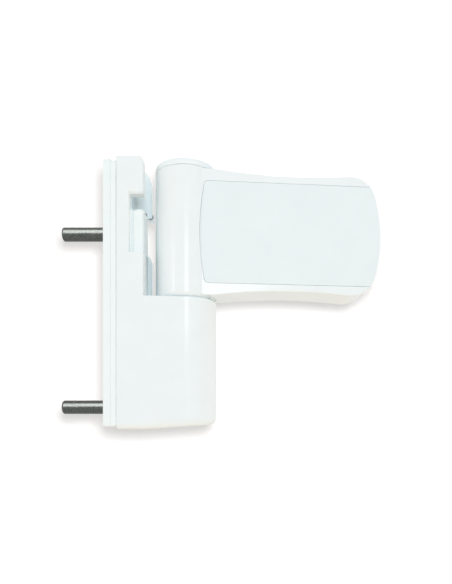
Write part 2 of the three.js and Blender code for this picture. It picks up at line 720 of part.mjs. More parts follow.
function knuckleBores() {
  const flangeSpace = knuckleFlangeThickness + seatGap;
  return join(
    bar(knuckleBore, roofFoot - knuckleFoot + overshoot, [0, 0, knuckleFoot - overshoot], Z, boreFacets),
    bar(knuckleBushRadius + knuckleFlangeWidth + seatGap, flangeSpace + overshoot,
      [0, 0, knuckleFoot - overshoot], Z, boreFacets),
    bar(capPlugRadius + seatGap, knuckleTop - roofTop + overshoot, [0, 0, roofTop], Z, boreFacets),
  );
}

// Open saddle for the screw in its bearing, and the way for its key through the end wall
function lateralScrewWay() {
  const y = -lateralScrewOffset;
  const open = -leafFront - overshoot;
  const saddle = openSlotOutline(y, open, leafMiddle, lateralScrewRadius + seatGap);
  const keyWay = openSlotOutline(y, open, leafMiddle, lateralSocketWidth);
  return join(
    drawnOut(saddle, acrossX, bearingEnd - bearingThickness - overshoot, bearingEnd + overshoot,
      { steps: curveSteps }),
    drawnOut(keyWay, acrossX, pocketEnd - overshoot, leafLength + overshoot, { steps: curveSteps }),
  );
}

function lugWindow() {
  const half = lugLength / 2 + lateralTravel + seatGap;
  return block(plateMiddle - half, plateMiddle + half, webFront - overshoot, webBack + overshoot,
    leafMiddle - lugHalf - seatGap, leafMiddle + lugHalf + seatGap);
}

function knuckleBushLower() {
  const flange = knuckleBushRadius + knuckleFlangeWidth;
  const step = knuckleFoot + knuckleFlangeThickness;
  return turned([
    [linerBore, knuckleFoot],
    [flange, knuckleFoot],
    [flange, step],
    [knuckleBushRadius, step],
    [knuckleBushRadius, knuckleFoot + lowerBushHeight],
    [linerBore, knuckleFoot + lowerBushHeight],
    [linerBore, knuckleFoot],
  ]);
}

function knuckleBushUpper() {
  return sleeve(linerBore, knuckleBushRadius, upperBushTop - upperBushHeight, upperBushTop);
}

function pinSeat() {
  return bar(knuckleBushRadius, pinSeatThickness, [0, 0, pinSeatFoot], Z, boreFacets);
}

function topCap() {
  const seat = knuckleTop + seatGap;
  const shoulder = seat + capRim;
  const crown = seat + capHeight;
  const rounding = [];
  for (let step = 0; step <= capSteps; step += 1) {
    const angle = (Math.PI / 2) * (step / capSteps);
    rounding.push([
      barrelRadius - capRounding * (1 - Math.cos(angle)),
      shoulder + (crown - capCrown - shoulder) * Math.sin(angle),
    ]);
  }
  return turned([
    [0, capPlugFoot],
    [capPlugRadius, capPlugFoot],
    [capPlugRadius, seat],
    [barrelRadius, seat],
    ...rounding,
    [0, crown],
  ], 0, 0, barrelFacets);
}

function leafCover() {
  const plate = drawnOut(coverOutline(0), acrossY, coverBack, leafFront,
    { steps: curveSteps, bevel: coverEdgeBevel });
  const ends = drawnOut(leafOutline(), acrossY, coverBack - overshoot, leafFront + overshoot,
    { steps: curveSteps });
  const trimmed = plate.intersect(ends.translate([-coverEndInset, 0, 0]));
  const clips = [pocketStart + clipInset, pocketEnd - clipInset - clipWidth].flatMap((x) => {
    const outer = pocketHalf - seatGap;
    return [leafMiddle + outer - clipThickness, leafMiddle - outer].map((z) => block(x, x + clipWidth,
      -coverBack - overshoot / 2, -coverBack + clipLength, z, z + clipThickness));
  });
  return join(trimmed, ...clips);
}

// Door plate and side adjustment, in the leaf's own frame
function doorPlate() {
  const half = plateLength / 2;
  const outline = roundedRectangle(plateMiddle - half, plateMiddle + half, leafMiddle - plateHalf,
    leafMiddle + plateHalf, plateCorner);
  const plateBack = plateFront + plateThickness;
  const plate = drawnOut(outline, acrossY, -plateBack, -plateFront);
  const lug = block(plateMiddle - lugLength / 2, plateMiddle + lugLength / 2, -lugReach,
    plateFront + overshoot, leafMiddle - lugHalf, leafMiddle + lugHalf);
  const through = plateThickness + 2 * overshoot;
  const start = plateFront - overshoot;
  return cut(join(plate, lug),
    bar(lateralScrewRadius + runningGap, lugLength + 2 * overshoot,
      [plateMiddle - lugLength / 2 - overshoot, -lateralScrewOffset, leafMiddle], X),
    ...clampPlaces.map(({ z }) => bar(clampScrewRadius + runningGap, through, [plateMiddle, start, z], Y)),
    ...doorHolePlaces.map(({ x, z }) => bar(doorHoleRadius, through, [x, start, z], Y)));
}

function lateralScrew() {
  const y = -lateralScrewOffset;
  const threadStart = bearingEnd - bearingThickness - lateralThreadLength;
  const shank = bar(lateralScrewRadius, lateralHeadStart - threadStart + overshoot,
    [threadStart, y, leafMiddle], X);
  const head = bar(lateralHeadRadius, lateralHeadLength, [lateralHeadStart, y, leafMiddle], X);
  const grooveStart = circlipStart - seatGap;
  const grooveLength = circlipThickness + 2 * seatGap;
  const groove = cut(bar(circlipRadius, grooveLength, [grooveStart, y, leafMiddle], X),
    bar(lateralScrewRadius - circlipGrooveDepth, grooveLength + 2 * overshoot,
      [grooveStart - overshoot, y, leafMiddle], X));
  const socket = hexSocket(lateralSocketWidth, lateralSocketDepth + overshoot,
    [lateralHeadStart + lateralHeadLength - lateralSocketDepth, y, leafMiddle], X);
  return cut(join(shank, head), groove, socket);
}

// An open ring, pushed on from the front
function screwCirclip() {
  const y = -lateralScrewOffset;
  const inner = lateralScrewRadius - circlipGrooveDepth + runningGap;
  const opening = openSlotOutline(y, y - 2 * circlipRadius, leafMiddle, inner);
  return cut(bar(circlipRadius, circlipThickness, [circlipStart, y, leafMiddle], X),
    drawnOut(opening, acrossX, circlipStart - overshoot, circlipStart + circlipThickness + overshoot,
      { steps: curveSteps }));
}

function clampScrew(z) {
  const headFront = clampHeadBack - clampHeadHeight;
  const head = bar(clampHeadRadius, clampHeadHeight, [plateMiddle, headFront, z], Y);
  const shank = bar(clampScrewRadius, leafBack - seatGap - headFront, [plateMiddle, headFront, z], Y);
  return cut(join(head, shank), hexSocket(clampSocketWidth, clampSocketDepth + overshoot,
    [plateMiddle, headFront - overshoot, z], Y));
}

function clampWasher(z) {
  const start = washerBack - washerThickness;
  return cut(bar(washerRadius, washerThickness, [plateMiddle, start, z], Y),
    bar(clampScrewRadius + runningGap, washerThickness + 2 * overshoot,
      [plateMiddle, start - overshoot, z], Y));
}

// The whole hinge
function place(group, name, body, finish) {
  const mesh = new THREE.Mesh(surface(body), finish.clone());
  mesh.name = name;
  group.add(mesh);
}

const hinge = new THREE.Group();
place(hinge, 'frame_packer', framePacker(), finishes.whitePlastic);
place(hinge, 'base_plate', basePlate(), finishes.whitePlastic);
place(hinge, 'frame_body', frameBody(), finishes.whiteCoat);
for (const { name, z, socket } of supportPins) {
  place(hinge, name, supportPin(z, socket), finishes.steel);
}
place(hinge, 'base_screw_upper', baseScrew(baseScrewPlaces[0]), finishes.steel);
place(hinge, 'base_screw_lower', baseScrew(baseScrewPlaces[1]), finishes.steel);
place(hinge, 'channel_insert', channelInsert(), finishes.whitePlastic);
place(hinge, 'bottom_cap', bottomCap(), finishes.whitePlastic);
place(hinge, 'bush_lock_screw', bushLockScrew(), finishes.steel);
place(hinge, 'pressure_bush', pressureBush(), finishes.zinc);
place(hinge, 'pin_liner', pinLiner(), finishes.acetal);
place(hinge, 'thrust_pad', thrustPad(), finishes.steel);
place(hinge, 'height_screw', heightScrew(), finishes.steel);
place(hinge, 'hinge_pin', hingePin(), finishes.steel);

const leaf = new THREE.Group();
leaf.position.set(axisReach, 0, 0);
leaf.rotation.z = THREE.MathUtils.degToRad(leafAngle);
hinge.add(leaf);
place(leaf, 'leaf_body', leafBody(), finishes.whiteCoat);
place(leaf, 'knuckle_bush_lower', knuckleBushLower(), finishes.acetal);
place(leaf, 'knuckle_bush_upper', knuckleBushUpper(), finishes.acetal);
place(leaf, 'pin_seat', pinSeat(), finishes.steel);
place(leaf, 'top_cap', topCap(), finishes.whitePlastic);
place(leaf, 'leaf_cover', leafCover(), finishes.whitePlastic);
place(leaf, 'door_plate', doorPlate(), finishes.zinc);
place(leaf, 'lateral_screw', lateralScrew(), finishes.steel);
place(leaf, 'screw_circlip', screwCirclip(), finishes.steel);
for (const { suffix, z } of clampPlaces) {
  place(leaf, `clamp_screw_${suffix}`, clampScrew(z), finishes.steel);
  place(leaf, `clamp_washer_${suffix}`, clampWasher(z), finishes.steel);
}

export default hinge;
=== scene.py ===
# White flag hinge of a plastic house door: frame part with its barrel, hidden pin, and the leaf with its cover.
import json
import math

import bmesh
import bpy
from mathutils import Matrix, Vector


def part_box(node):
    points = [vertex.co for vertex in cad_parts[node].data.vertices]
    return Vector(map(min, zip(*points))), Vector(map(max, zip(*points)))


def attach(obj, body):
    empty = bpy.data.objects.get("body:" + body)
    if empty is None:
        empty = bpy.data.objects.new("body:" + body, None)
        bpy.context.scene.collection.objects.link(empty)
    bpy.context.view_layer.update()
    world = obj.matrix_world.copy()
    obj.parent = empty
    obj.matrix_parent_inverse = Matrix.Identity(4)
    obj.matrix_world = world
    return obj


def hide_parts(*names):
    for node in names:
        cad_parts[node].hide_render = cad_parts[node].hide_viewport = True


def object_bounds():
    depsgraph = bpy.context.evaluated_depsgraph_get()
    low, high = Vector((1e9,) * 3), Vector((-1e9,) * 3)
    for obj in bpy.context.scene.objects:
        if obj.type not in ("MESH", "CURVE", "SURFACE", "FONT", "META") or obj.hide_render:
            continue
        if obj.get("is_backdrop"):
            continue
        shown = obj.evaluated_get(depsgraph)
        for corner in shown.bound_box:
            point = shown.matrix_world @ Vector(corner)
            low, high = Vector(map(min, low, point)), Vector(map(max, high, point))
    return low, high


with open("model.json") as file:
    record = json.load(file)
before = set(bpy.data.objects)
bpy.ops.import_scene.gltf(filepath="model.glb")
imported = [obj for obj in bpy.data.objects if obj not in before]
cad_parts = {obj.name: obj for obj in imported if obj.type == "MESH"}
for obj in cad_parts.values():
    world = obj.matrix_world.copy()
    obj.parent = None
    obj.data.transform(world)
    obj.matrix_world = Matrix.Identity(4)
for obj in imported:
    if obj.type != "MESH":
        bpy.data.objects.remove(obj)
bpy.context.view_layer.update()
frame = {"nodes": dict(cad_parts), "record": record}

scene = bpy.context.scene
mm = 0.001  # pieces are drawn in millimetres and scaled once, when they are finished


def nodeBox(name):
    low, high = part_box(name)
    return Vector(low) / mm, Vector(high) / mm


def midHeight(name):
    low, high = nodeBox(name)
    return (low.z + high.z) / 2


# Nodes and places that the pieces share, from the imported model
supportPins = ("support_pin_upper", "support_pin_lower")
baseScrews = ("base_screw_upper", "base_screw_lower")
frameLow, frameHigh = nodeBox("frame_body")
pinLow, pinHigh = nodeBox("hinge_pin")
bushLow, bushHigh = nodeBox("pressure_bush")
axisX = (pinLow.x + pinHigh.x) / 2
bushY = (bushLow.y + bushHigh.y) / 2
barrelRadius = frameHigh.y
castingBack = frameLow.x
castingFoot = frameLow.z
seatGap = 0.3
insertThickness = 4.05
roundShare = 1 - math.sqrt(0.5)  # how far the middle of a quarter round stands off its corner, by its radius
housingTop = bushHigh.z + seatGap
knuckleFoot = nodeBox("leaf_body")[0].z
knuckleTop = nodeBox("leaf_body")[1].z
leafMiddle = (knuckleFoot + knuckleTop) / 2
doorAxis = [m for m in frame["record"]["mounts"] if m["name"] == "door_face"][0]["axis"]
leafAngle = math.atan2(-doorAxis[0], doorAxis[1])
leafPlace = Matrix.Translation((axisX, 0, 0)) @ Matrix.Rotation(leafAngle, 4, "Z")

# ---- drawing and shaping, all in millimetres
drawnIn = {"Z": Matrix.Identity(4),
           "Y": Matrix(((1, 0, 0, 0), (0, 0, -1, 0), (0, 1, 0, 0), (0, 0, 0, 1))),
           "X": Matrix(((0, 0, 1, 0), (1, 0, 0, 0), (0, 1, 0, 0), (0, 0, 0, 1)))}
pointed = {"Z": Matrix.Identity(4),
           "Y": Matrix.Rotation(math.radians(-90), 4, "X"),
           "X": Matrix.Rotation(math.radians(90), 4, "Y")}


def move(bm, matrix):
    bmesh.ops.transform(bm, matrix=matrix, verts=bm.verts)


def vertsOf(result, key="geom"):
    return [item for item in result[key] if isinstance(item, bmesh.types.BMVert)]


def arcThrough(a, b, c):
    # centre and signed angle of the arc that runs from a over b to c
    d = 2 * (a[0] * (b[1] - c[1]) + b[0] * (c[1] - a[1]) + c[0] * (a[1] - b[1]))
    squares = [p[0] ** 2 + p[1] ** 2 for p in (a, b, c)]
    x = (squares[0] * (b[1] - c[1]) + squares[1] * (c[1] - a[1]) + squares[2] * (a[1] - b[1])) / d
    y = (squares[0] * (c[0] - b[0]) + squares[1] * (a[0] - c[0]) + squares[2] * (b[0] - a[0])) / d
    turn = math.atan2(c[1] - y, c[0] - x) - math.atan2(a[1] - y, a[0] - x)
    turn %= 2 * math.pi
    return (x, y, 0), turn if d > 0 else turn - 2 * math.pi


def drawPath(bm, start, strokes, step=4):
    # a stroke is the end of a straight line, or a point on the way and the end of an arc
    pen = bm.verts.new((start[0], start[1], 0))
    for stroke in strokes:
        if len(stroke) == 2:
            pen = bmesh.ops.extrude_vert_indiv(bm, verts=[pen])["verts"][0]
            pen.co = (stroke[0], stroke[1], 0)
        else:
            centre, angle = arcThrough(pen.co, stroke[:2], stroke[2:])
            steps = max(2, round(abs(math.degrees(angle)) / step))
            arc = bmesh.ops.spin(bm, geom=[pen], cent=centre, axis=(0, 0, 1), dvec=(0, 0, 0), angle=angle,
                                 steps=steps, use_merge=False, use_duplicate=False)
            pen = vertsOf(arc, "geom_last")[0]
    bmesh.ops.remove_doubles(bm, verts=bm.verts, dist=0.001)


def prism(axis, low, high, start, strokes, step=4):
    # an outline in the two other axes, drawn out along the named one
    bm = bmesh.new()
    drawPath(bm, start, list(strokes) + [start], step)
    bmesh.ops.contextual_create(bm, geom=bm.edges[:])
    first, last = (-high, -low) if axis == "Y" else (low, high)
    bmesh.ops.translate(bm, verts=bm.verts, vec=(0, 0, first))
    grown = bmesh.ops.extrude_face_region(bm, geom=bm.faces[:])
    bmesh.ops.translate(bm, verts=vertsOf(grown), vec=(0, 0, last - first))
    move(bm, drawnIn[axis])
    bmesh.ops.recalc_face_normals(bm, faces=bm.faces)
    return bm


def lathe(axis, centre, start, strokes, sides=72, step=15):
    # a profile of radius and distance along the axis, turned about the axis through the centre
    bm = bmesh.new()
    drawPath(bm, start, strokes, step)
    move(bm, drawnIn["Y"])
    bmesh.ops.spin(bm, geom=bm.verts[:] + bm.edges[:], cent=(0, 0, 0), axis=(0, 0, 1), dvec=(0, 0, 0),
                   angle=2 * math.pi, steps=sides, use_merge=True)
    bmesh.ops.remove_doubles(bm, verts=bm.verts, dist=0.001)
    bmesh.ops.recalc_face_normals(bm, faces=bm.faces)
    move(bm, Matrix.Translation(centre) @ pointed[axis])
    return bm


def rod(axis, radius, low, high, centre, sides=48, endRadius=None):
    bm = bmesh.new()
    bmesh.ops.create_cone(bm, cap_ends=True, segments=sides, radius1=radius,
                          radius2=radius if endRadius is None else endRadius, depth=high - low)
    bmesh.ops.translate(bm, verts=bm.verts, vec=(0, 0, (low + high) / 2))
    move(bm, Matrix.Translation(centre) @ pointed[axis])
    return bm


def same(a, b):
    return abs(a - b) < 0.01


def about(middle, half):
    return middle - half, middle + half


def turned(radius, height, chamfer):
    # profile of a plain round piece with both rims broken
    return [(radius - chamfer, 0), (radius, chamfer), (radius, height - chamfer), (radius - chamfer, height)]


def hexRod(axis, width, low, high, centre):
    return rod(axis, width / math.sqrt(3), low, high, centre, sides=6)


def slab(x, y, z):
    bm = bmesh.new()
    bmesh.ops.create_cube(bm, size=1)
    bmesh.ops.scale(bm, verts=bm.verts, vec=(x[1] - x[0], y[1] - y[0], z[1] - z[0]))
    bmesh.ops.translate(bm, verts=bm.verts, vec=((x[0] + x[1]) / 2, (y[0] + y[1]) / 2, (z[0] + z[1]) / 2))
    return bm


def rounded(a, b, radius):
    # outline of a rectangle with round corners: start and strokes
    k = radius * roundShare
    (a0, a1), (b0, b1), r = a, b, radius
    return (a0 + r, b0), [(a1 - r, b0), (a1 - k, b0 + k, a1, b0 + r), (a1, b1 - r), (a1 - k, b1 - k, a1 - r, b1),
                          (a0 + r, b1), (a0 + k, b1 - k, a0, b1 - r), (a0, b0 + r), (a0 + k, b0 + k, a0 + r, b0)]


def slot(a, b, radius):
    # outline of a slot along the first axis, from a[0] to a[1] between the middles of its round ends
    return (a[0], b - radius), [(a[1], b - radius), (a[1] + radius, b, a[1], b + radius), (a[0], b + radius),
                                (a[0] - radius, b, a[0], b - radius)]


def placed(name, data):
    obj = bpy.data.objects.new(name, data)
    scene.collection.objects.link(obj)
    return obj


def onTable(bm, name):
    mesh = bpy.data.meshes.new(name)
    bm.to_mesh(mesh)
    bm.free()
    return placed(name, mesh)


def combine(operation, base, tools):
    body = onTable(base, "work")
    others = [onTable(tool, "tool") for tool in tools]
    for other in others:
        cut = body.modifiers.new("cut", "BOOLEAN")
        cut.solver = "EXACT"
        cut.operation = operation
        cut.object = other
    result = bmesh.new()
    result.from_object(body, bpy.context.evaluated_depsgraph_get())
    for obj in [body] + others:
        bpy.data.meshes.remove(obj.data)
    bmesh.ops.remove_doubles(result, verts=result.verts, dist=0.004)
    bmesh.ops.dissolve_limit(result, angle_limit=math.radians(0.2), verts=result.verts, edges=result.edges)
    return result


def carve(base, *tools):
    return combine("DIFFERENCE", base, tools)


def join(base, *others):
    return combine("UNION", base, others)


def finishPiece(bm, name, body, nodes, slotName, rules=(), place=None, segments=4, material=None):
    # a rule is a radius and the test that both ends of an edge have to pass; the first that fits is used, and an
    # edge that fits none stays sharp
    widest = max([radius for radius, test in rules], default=0)
    weight = bm.edges.layers.float.new("bevel_weight_edge")
    for face in bm.faces:
        face.smooth = True
    for edge in bm.edges:
        if len(edge.link_faces) != 2 or edge.calc_face_angle() < math.radians(25):
            continue
        fitting = [radius for radius, test in rules if test(edge.verts[0].co) and test(edge.verts[1].co)]
        if fitting:
            edge[weight] = fitting[0] / widest
        else:
            edge.smooth = False
    if place is not None:
        move(bm, place)
    bmesh.ops.scale(bm, verts=bm.verts, vec=(mm, mm, mm))
    obj = onTable(bm, name)
    obj.data.materials.append(material or bySlot[slotName])
    if widest:
        soft = obj.modifiers.new("edges", "BEVEL")
        soft.limit_method = "WEIGHT"
        soft.width = widest * mm
        soft.segments = segments
        soft.use_clamp_overlap = False
        soft.harden_normals = True
        weld = obj.modifiers.new("weld", "WELD")
        weld.merge_threshold = 0.0005 * mm
    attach(obj, body)
    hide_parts(*nodes)
    return obj


# ---- materials
def srgb(hexText):
    channels = [int(hexText[i:i + 2], 16) / 255 for i in (1, 3, 5)]
    return tuple(c / 12.92 if c <= 0.04045 else ((c + 0.055) / 1.055) ** 2.4 for c in channels) + (1,)


def addNode(tree, kind, settings=None, inputs=None, links=None):
    node = tree.nodes.new(kind)
    for name, value in (settings or {}).items():
        setattr(node, name, value)
    for name, value in (inputs or {}).items():
        node.inputs[name].default_value = value
    for name, source in (links or {}).items():
        tree.links.new(source, node.inputs[name])
    return node


def emptyTree(owner):
    owner.use_nodes = True
    owner.node_tree.nodes.clear()
    return owner.node_tree


def emptyMaterial(name):
    material = bpy.data.materials.new(name)
    return material, emptyTree(material)


def perMetre(size):
    return 1 / (size * mm)


def finish(name, look):
    # two close colours in patches, a fine relief, and gloss that changes with it; sizes in millimetres
    material, tree = emptyMaterial(name)
    place = addNode(tree, "ShaderNodeTexCoord")
    along = addNode(tree, "ShaderNodeMapping", inputs={"Scale": look.get("stretch", (1, 1, 1))},
                    links={"Vector": place.outputs["Object"]})
    patches = addNode(tree, "ShaderNodeTexNoise", inputs={"Scale": perMetre(look["patch"]), "Detail": 3},
                      links={"Vector": along.outputs[0]})
    spread = look.get("spread", 0.25)
    share = addNode(tree, "ShaderNodeMapRange", inputs={"From Min": 0.5 - spread, "From Max": 0.5 + spread},
                    links={"Value": patches.outputs[0]})
    blend = addNode(tree, "ShaderNodeMix", {"data_type": "RGBA"}, links={0: share.outputs[0]})
    blend.inputs[6].default_value, blend.inputs[7].default_value = [srgb(c) for c in look["colours"]]
    grain = addNode(tree, "ShaderNodeTexNoise", inputs={"Scale": perMetre(look["grain"]), "Detail": 2},
                    links={"Vector": along.outputs[0]})
    relief = addNode(tree, "ShaderNodeBump", inputs={"Strength": 1, "Distance": look["depth"] * mm},
                     links={"Height": grain.outputs[0]})
    gloss = addNode(tree, "ShaderNodeMapRange",
                    inputs={"From Min": 0.3, "From Max": 0.7, "To Min": look["roughness"][0],
                            "To Max": look["roughness"][1]}, links={"Value": grain.outputs[0]})
    shader = addNode(tree, "ShaderNodeBsdfPrincipled", inputs={"Metallic": look.get("metallic", 0)},
                     links={"Base Color": blend.outputs[2], "Roughness": gloss.outputs[0],
                            "Normal": relief.outputs[0]})
    if not look.get("metallic"):
        shader.inputs["IOR"].default_value = look["ior"]
    addNode(tree, "ShaderNodeOutputMaterial", links={"Surface": shader.outputs[0]})
    return material


# Powder-coated die casting: bright cool white, clear narrow highlights that break up over faint orange peel
coat = finish("powderCoatWhite", {"colours": ("#F1F7F8", "#EEF4F5"), "patch": 9, "grain": 1.3, "depth": 0.003,
                                  "roughness": (0.16, 0.2), "ior": 1.45})
# Moulded hard PVC: the same white, a softer shine
plastic = finish("mouldedPvcWhite", {"colours": ("#F3FAFB", "#F0F7F8"), "patch": 7, "grain": 1.6, "depth": 0.002,
                                     "roughness": (0.28, 0.33), "ior": 1.5})
# Cover moulded in a fine-eroded tool: satin, so that no lamp shows in its flat face
satin = finish("satinPvcWhite", {"colours": ("#ECF4F6", "#E9F1F3"), "patch": 12, "grain": 0.5, "depth": 0.006,
                                 "roughness": (0.5, 0.62), "ior": 1.53})
# Ground carbon steel: grey, mottled by short marks along the pin (drawn coarser than real, to show)
pinSteel = finish("groundSteel", {"colours": ("#414442", "#656864"), "patch": 0.3, "spread": 0.2, "grain": 0.3,
                                  "depth": 0.003, "stretch": (0.6, 1, 1), "roughness": (0.24, 0.34), "metallic": 1})
# Bright zinc plating with a faint bluish cloud
screwSteel = finish("zincPlatedSteel", {"colours": ("#A9B0B5", "#C9CDCF"), "patch": 1.6, "grain": 0.4, "depth": 0.004,
                                        "roughness": (0.2, 0.34), "metallic": 1})
# Raw zinc casting, tumbled: dull grey with a fine cast grain
zinc = finish("zincCasting", {"colours": ("#8E9396", "#ACB0B2"), "patch": 1.2, "grain": 0.45, "depth": 0.02,
                              "roughness": (0.38, 0.52), "metallic": 1})
# Acetal bearing plastic: waxy off-white
acetal = finish("acetal", {"colours": ("#DDDACF", "#D4D1C5"), "patch": 4, "grain": 0.7, "depth": 0.005,
                           "roughness": (0.36, 0.46), "ior": 1.48})
bySlot = {"white_coat": coat, "white_plastic": plastic, "pin_steel": pinSteel, "screw_steel": screwSteel,
          "zinc": zinc, "acetal": acetal}
for part in frame["record"]["subparts"]:
    mesh = frame["nodes"][part["node"]].data
    mesh.materials.clear()
    mesh.materials.append(bySlot[part["material_slot"]])

# ---- frame part
casting = {"channelEdge": 13.93, "webFace": 7.33, "channelHalf": 6.7, "nearTop": 55.3, "nearCorner": 1.7,
           "footRise": 1.6, "footRadius": 2.3, "rimRadius": 0.9, "edgeRadius": 0.35, "notchRadius": 1.2,
           "nearNotch": (9.16, 22.15, 42.19),        # depth of its floor, foot and top
           "farNotch": (11.67, 23.45, 27.7, 40.05),  # floor, lip, foot of the floor, top
           "farCorner": (3.4, 7.2),
           "screwHole": 2.3, "screwSink": 1.9, "screwHeights": (13.25, 43.2),
           "bossRadius": 4.6, "bossHeight": 31.6, "pinBore": 2.65, "baseScrewBore": 1.65,
           "bushBore": 8.55, "keyBore": 4.05, "capBore": (6.35, 2.2),  # radius, and length past the cap's foot
           "lockBore": (2.15, 6.6), "backRadius": 0.1, "innerRadius": 0.4}


def frameCasting(c):
    edge, top, half = c["channelEdge"], frameHigh.z, c["channelHalf"]
    side, end = barrelRadius + 1, frameHigh.x + 1
    base = prism("Z", castingFoot, top, (castingBack, -barrelRadius),
                 [(edge, -barrelRadius), (axisX, -barrelRadius), (frameHigh.x, 0, axisX, barrelRadius),
                  (edge, barrelRadius), (castingBack, barrelRadius)], step=3)
    foot = [v for v in base.verts if v.co.z < castingFoot + 1]
    bmesh.ops.connect_verts(base, verts=[v for v in foot if same(v.co.x, edge)])
    for vert in foot:
        vert.co.z += c["footRise"] * max(0, vert.co.x - edge) / (frameHigh.x - edge)
    bossFace = nodeBox("channel_insert")[1].x - insertThickness - seatGap
    notchFloor, notchFoot, notchTop = c["nearNotch"]
    farFloor, farLip, farFoot, farTop = c["farNotch"]
    slant = (farFoot - farLip) / (edge - farFloor)
    rx, rz = c["farCorner"]
    quarter = [(edge - rx + rx * math.cos(math.radians(t)), top - rz + rz * math.sin(math.radians(t)))
               for t in (0, 22.5, 45, 67.5, 90)]
    near = c["nearCorner"]
    k = near * roundShare
    walls = carve(
        base,
        slab((edge, end), (-side, side), (housingTop, top + 1)),
        slab((0, end), (-side, half), (c["nearTop"], top + 1)),
        slab((c["webFace"], end), (-half, half), (housingTop, top + 1)),
        slab((notchFloor, end), (-side, -half + 1), (notchFoot, notchTop)),
        prism("Y", half - 1, side, (farFloor, farTop),
              [(farFloor, farFoot), (edge + 1, farLip - slant), (edge + 1, farTop)]),
        prism("Y", -side, -half + 1, (edge, c["nearTop"] - near),
              [(edge - k, c["nearTop"] - k, edge - near, c["nearTop"]), (edge - near, c["nearTop"] + 1),
               (edge + 1, c["nearTop"] + 1), (edge + 1, c["nearTop"] - near)], step=10),
        prism("Y", half - 1, side, quarter[0],
              [quarter[1] + quarter[2], quarter[3] + quarter[4], (quarter[4][0], top + 1), (edge + 1, top + 1),
               (edge + 1, quarter[0][1])]))
    boss = rod("X", c["bossRadius"], c["webFace"] - 1, bossFace, (0, 0, c["bossHeight"]))
    holes = []
    for nodes, bore in ((supportPins, c["pinBore"]), (baseScrews, c["baseScrewBore"])):
        for node in nodes:
            holes.append(rod("X", bore, castingBack - 1, nodeBox(node)[1].x + seatGap, (0, 0, midHeight(node))))
    for z in c["screwHeights"]:
        holes.append(rod("X", c["screwHole"], castingBack - 1, c["webFace"] + 1, (0, 0, z)))
        holes.append(rod("X", c["screwHole"], c["webFace"] - c["screwSink"], c["webFace"] + 1, (0, 0, z),
                         endRadius=c["screwHole"] + c["screwSink"] + 1))
    capFoot = nodeBox("bottom_cap")[0].z
    holes += [
        rod("Z", c["bushBore"], bushLow.z - seatGap, housingTop + 1, (axisX, bushY, 0), sides=64),
        rod("Z", c["keyBore"], castingFoot - 1, bushLow.z, (axisX, bushY, 0), sides=40),
        rod("Z", c["capBore"][0], castingFoot - 1, capFoot + c["capBore"][1], (axisX, bushY, 0), sides=48),
        rod("Y", *c["lockBore"], side, (axisX, 0, midHeight("bush_lock_screw")), sides=32)]
    return carve(join(walls, boss), *holes)


def outside(v):
    return abs(abs(v.y) - barrelRadius) < 0.02 or abs(math.hypot(v.x - axisX, v.y) - barrelRadius) < 0.02


footZone = castingFoot + casting["footRise"] + 0.1
finishPiece(
    frameCasting(casting), "frameCasting", "frame", ["frame_body"], "white_coat",
    rules=[(casting["footRadius"], lambda v: outside(v) and v.z < footZone and v.x > castingBack + 0.01),
           (casting["footRadius"], lambda v: outside(v) and v.z < footZone),
           (casting["backRadius"], lambda v: same(v.x, castingBack) and outside(v)),
           (casting["rimRadius"], lambda v: outside(v) and same(v.z, housingTop)),
           (casting["notchRadius"], lambda v: outside(v) and same(v.z, casting["nearNotch"][2])),
           (casting["edgeRadius"], lambda v: outside(v) and v.z > housingTop + 0.1),
           (casting["innerRadius"],
            lambda v: v.z > housingTop + 0.1 and abs(abs(v.y) - casting["channelHalf"]) < 0.02)])

# the end of a small pin in the far wall, with a bare ring in its hollow
eye = {"x": 13.45, "z": 40.6, "radius": 1.2, "hole": 0.42, "stand": 0.2, "edge": 0.1, "hollow": 0.4, "rim": 0.15,
       "short": 0.3, "ringPlay": 0.03, "ringFace": 0.05, "ringWidth": (0.35, 0.2), "ringDepth": (0.2, 0.38)}
eyeFront, eyeBack = casting["channelHalf"] + eye["stand"], barrelRadius - eye["short"]
hole, ringHole, ringFace = eye["hole"], eye["hole"] + eye["ringPlay"], eyeFront + eye["ringFace"]
finishPiece(lathe("Y", (eye["x"], 0, eye["z"]), (0, eyeFront),
                  [(hole - eye["edge"], eyeFront), (hole, eyeFront + eye["edge"]), (hole, eyeFront + eye["hollow"]),
                   (eye["radius"] - eye["rim"], eyeFront + eye["hollow"]),
                   (eye["radius"], eyeFront + eye["hollow"] + eye["rim"]), (eye["radius"], eyeBack),
                   (0, eyeBack)], sides=40),
            "castingEye", "frame", [], "white_coat")
outer, inner = [eye["radius"] - width for width in eye["ringWidth"]]
shoulder, back = [eyeFront + depth for depth in eye["ringDepth"]]
finishPiece(lathe("Y", (eye["x"], 0, eye["z"]), (ringHole, ringFace),
                  [(outer, ringFace), (inner, shoulder), (inner, back), (ringHole, back), (ringHole, ringFace)],
                  sides=40),
            "eyeRing", "frame", [], "zinc")
print("frame casting done")

# ---- strips behind the casting, and the pins and screws that hold it
strips = {"corner": 1, "edgeRadius": 0.15, "packerSeam": 0.02, "baseSeam": 0.035, "screwHole": 2.3, "pinHole": 2.65,
          "baseScrewHole": 1.65, "baseScrewSink": (2.95, 1.3), "rise": 0.12,
          "roundedFrom": (9.9, 1.6, 1.1)}  # edges out of this reach from the middle, the top and the foot are round


